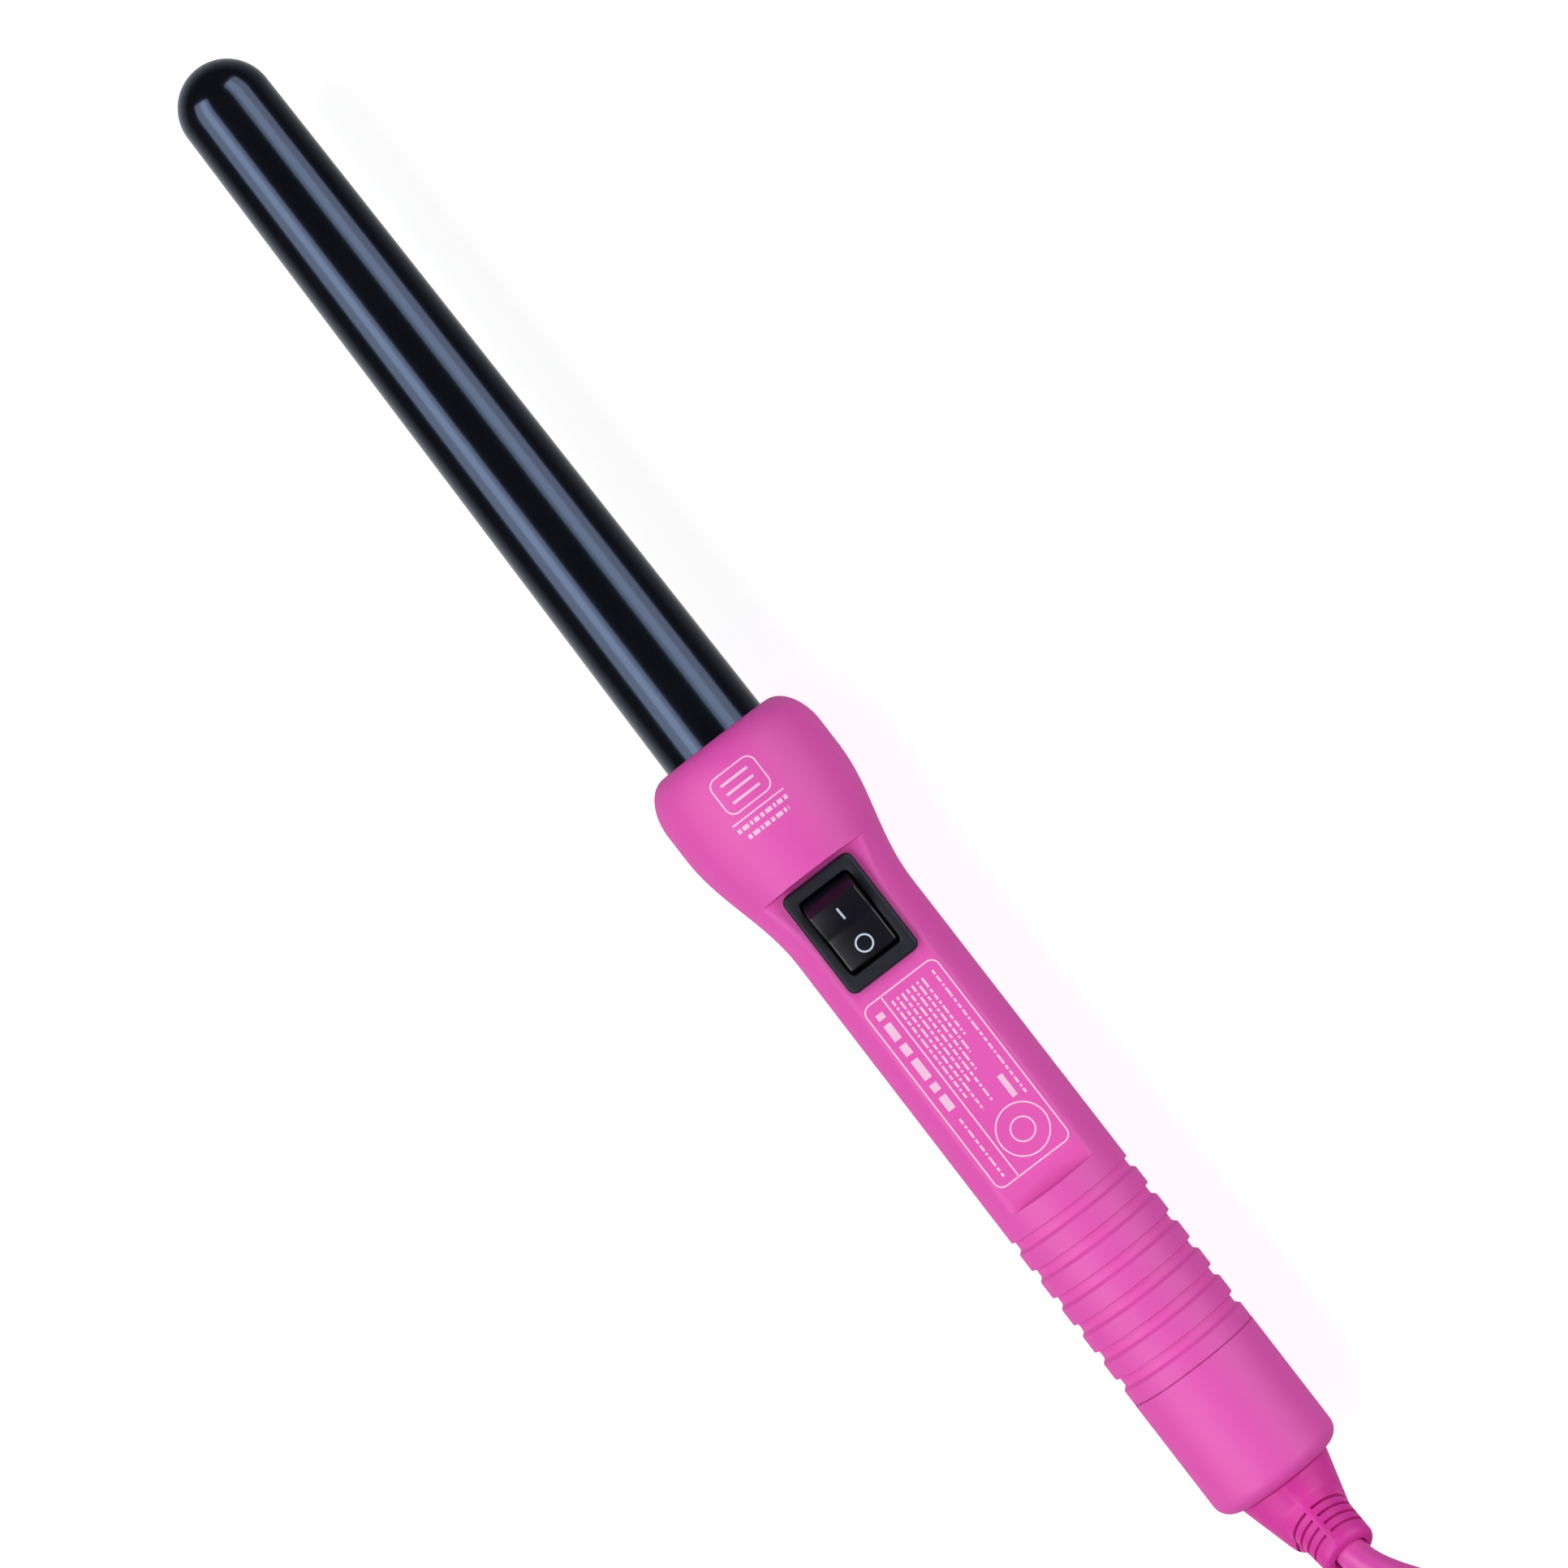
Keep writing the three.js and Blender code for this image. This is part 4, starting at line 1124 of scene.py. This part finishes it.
# Screws: pan heads with a cross recess, deep in the back shell
screwSettings = {"head": 2.6, "headTop": -10.2, "seat": -8.0, "shank": 1.2, "end": 5.5,
                 "cross": 0.55,
                 "crossReach": 1.7, "crossDepth": 1.1,
                 "crown": ((0, 0.01), (0.08, 1.2), (0.35, 2.0), (0.8, 2.5))}


def addScrews(s):
    for i, x in enumerate(handle["screwX"], 1):
        profile = [(s["headTop"] + down, r) for down, r in s["crown"]]
        profile += [(s["headTop"] + 1.2, s["head"]), (s["seat"], s["head"]),
                    (s["seat"], s["shank"]), (s["end"] - 1.5, s["shank"]), (s["end"], 0.3)]
        rings = [[fromTip(x + a, b, z) for a, b in circle(r, 36)] for z, r in profile]
        screw = makePiece("shell_screw_" + str(i), *loft(rings), platedSteel, slot="steel",
                          sharp=40)
        low, high = s["headTop"] - 1, s["headTop"] + s["crossDepth"]
        for reachX, reachY in ((s["crossReach"], s["cross"] / 2),
                               (s["cross"] / 2, s["crossReach"])):
            combine(screw, boxTool((x - reachX, -reachY, low), (x + reachX, reachY, high)),
                    "DIFFERENCE")
        resharpen(screw, 40)
        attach(screw, "handle")
        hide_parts("screw_" + str(i))


addScrews(screwSettings)
print("screws made")

# Inner parts keep their CAD shapes and take the material of their slot
slotMaterials = {
    "heat_plastic": glassFilledPps, "white_plastic": naturalNylon, "mica": pressedMica,
    "heater_ceramic": heaterCeramic, "aluminium": extrudedAluminium, "steel": platedSteel,
    "brass": pressedBrass,
    "copper": copperStrip, "wire_blue": blueSilicone, "wire_brown": brownSilicone,
    "wire_red": redSilicone,
    "soft_touch_pink": softTouchLacquer, "barrel_enamel": ceramicCoating,
    "switch_slate": slateNylon,
    "rocker_black": satinPolycarbonate, "cord_pvc": flexiblePvc, "strap_black": strapWeave,
}
slotOfNode = {part["node"]: part["material_slot"] for part in frame["record"]["subparts"]}
for nodeName, nodeObject in frame["nodes"].items():
    for materialSlot in nodeObject.material_slots:
        materialSlot.material = slotMaterials[slotOfNode[nodeName]]
print("inner parts finished")


# Studio: a pale light table that curves up far away, two wide softboxes over the wand and a low
# one on its left
studio = {
    "floor": "#F2F2F3", "floorGlow": 0.56, "flatRadius": 2.6, "bend": 1.2, "wallTop": 3.2,
    "skyAbove": 0.05, "skyBelow": 0.7, "leftShare": 1.25, "rightShare": 0.4, "distance": 1.5,
    "aim": (160, 0, 0), "sides": 96,
    "sunk": 0.0003,
    "panels": {
        "left_softbox": {"angle": -46, "size": (2.9, 1.24), "watts": 22.6},
        "left_core": {"angle": -40.5, "size": (2.9, 0.42), "watts": 5.9},
        "low_left_softbox": {"angle": -80, "size": (2.9, 0.45), "watts": 4.2, "glossy": False},
        "right_softbox": {"angle": 56, "size": (2.9, 1.24), "watts": 18.6},
        "right_core": {"angle": 50.5, "size": (2.9, 0.48), "watts": 4.6},
    },
}


def addFloor(s):
    profile = [(r, 0) for r in np.linspace(0.05, s["flatRadius"], 14)]
    profile += [(s["flatRadius"] + s["bend"] * math.sin(a), s["bend"] * (1 - math.cos(a)))
                for a in np.linspace(0.15, math.pi / 2, 11)]
    profile.append((s["flatRadius"] + s["bend"], s["wallTop"]))
    rings = [[Vector((x, y, z - s["sunk"])) for x, y in circle(r, s["sides"])] for r, z in profile]
    paper = surfaceMaterial({
        "name": "lightTableAcrylic", "darker": s["floor"], "lighter": s["floor"], "cloudSize": 400,
        "grainSize": 1.0, "grainDepth": 0.002, "roughness": (0.7, 0.8),
        "shader": {"Emission Color": (1, 1, 1, 1), "Emission Strength": s["floorGlow"]},
    })
    floor = makePiece("light_table", *loft(rings, capEnd=False), paper)
    floor.visible_glossy = False
    floor.visible_diffuse = False


def addPanel(name, s, aim, distance):
    lamp = bpy.data.lights.new(name, "AREA")
    lamp.shape = "RECTANGLE"
    lamp.size, lamp.size_y = s["size"]
    lamp.energy = s["watts"]
    panel = bpy.data.objects.new(name, lamp)
    bpy.context.scene.collection.objects.link(panel)
    panel.visible_camera = False
    panel.visible_glossy = s.get("glossy", True)
    turn = math.radians(s["angle"])
    away = Vector((0, math.sin(turn), math.cos(turn)))
    across = away.cross(Vector((1, 0, 0)))
    rotation = Matrix((Vector((1, 0, 0)), across, away)).transposed().to_4x4()
    panel.matrix_world = Matrix.Translation(fromTip(*aim) + away * distance) @ rotation


def addSky(s):
    # dim overhead and paler below the horizon, where gloss would show the table
    world = bpy.data.worlds.new("studio")
    world.use_nodes = True
    tree = world.node_tree
    tree.nodes.clear()
    way = addNode(tree, "ShaderNodeTexCoord").outputs["Generated"]
    parts = addNode(tree, "ShaderNodeSeparateXYZ", {}, {"Vector": way}).outputs
    below = addNode(tree, "ShaderNodeMapRange", {"From Min": -0.15, "From Max": -1.0, "To Min": 0.0,
                                                 "To Max": s["skyBelow"]}, {"Value": parts["Z"]})
    share = addNode(tree, "ShaderNodeMapRange", {"From Min": -0.8, "From Max": 0.8,
                                                 "To Min": s["leftShare"],
                                                 "To Max": s["rightShare"]}, {"Value": parts["Y"]})
    strength = addNode(tree, "ShaderNodeMath", {"operation": "MULTIPLY_ADD", 2: s["skyAbove"]},
                       {0: below.outputs["Result"], 1: share.outputs["Result"]})
    sky = addNode(tree, "ShaderNodeBackground", {"Color": (1, 1, 1, 1)},
                  {"Strength": strength.outputs["Value"]})
    addNode(tree, "ShaderNodeOutputWorld", {}, {"Surface": sky.outputs["Background"]})
    bpy.context.scene.world = world


def addStudio(s):
    addFloor(s)
    for name, panel in s["panels"].items():
        addPanel(name, panel, s["aim"], s["distance"])
    addSky(s)
    bpy.context.scene.view_settings.view_transform = "Standard"


addStudio(studio)
print("studio set")
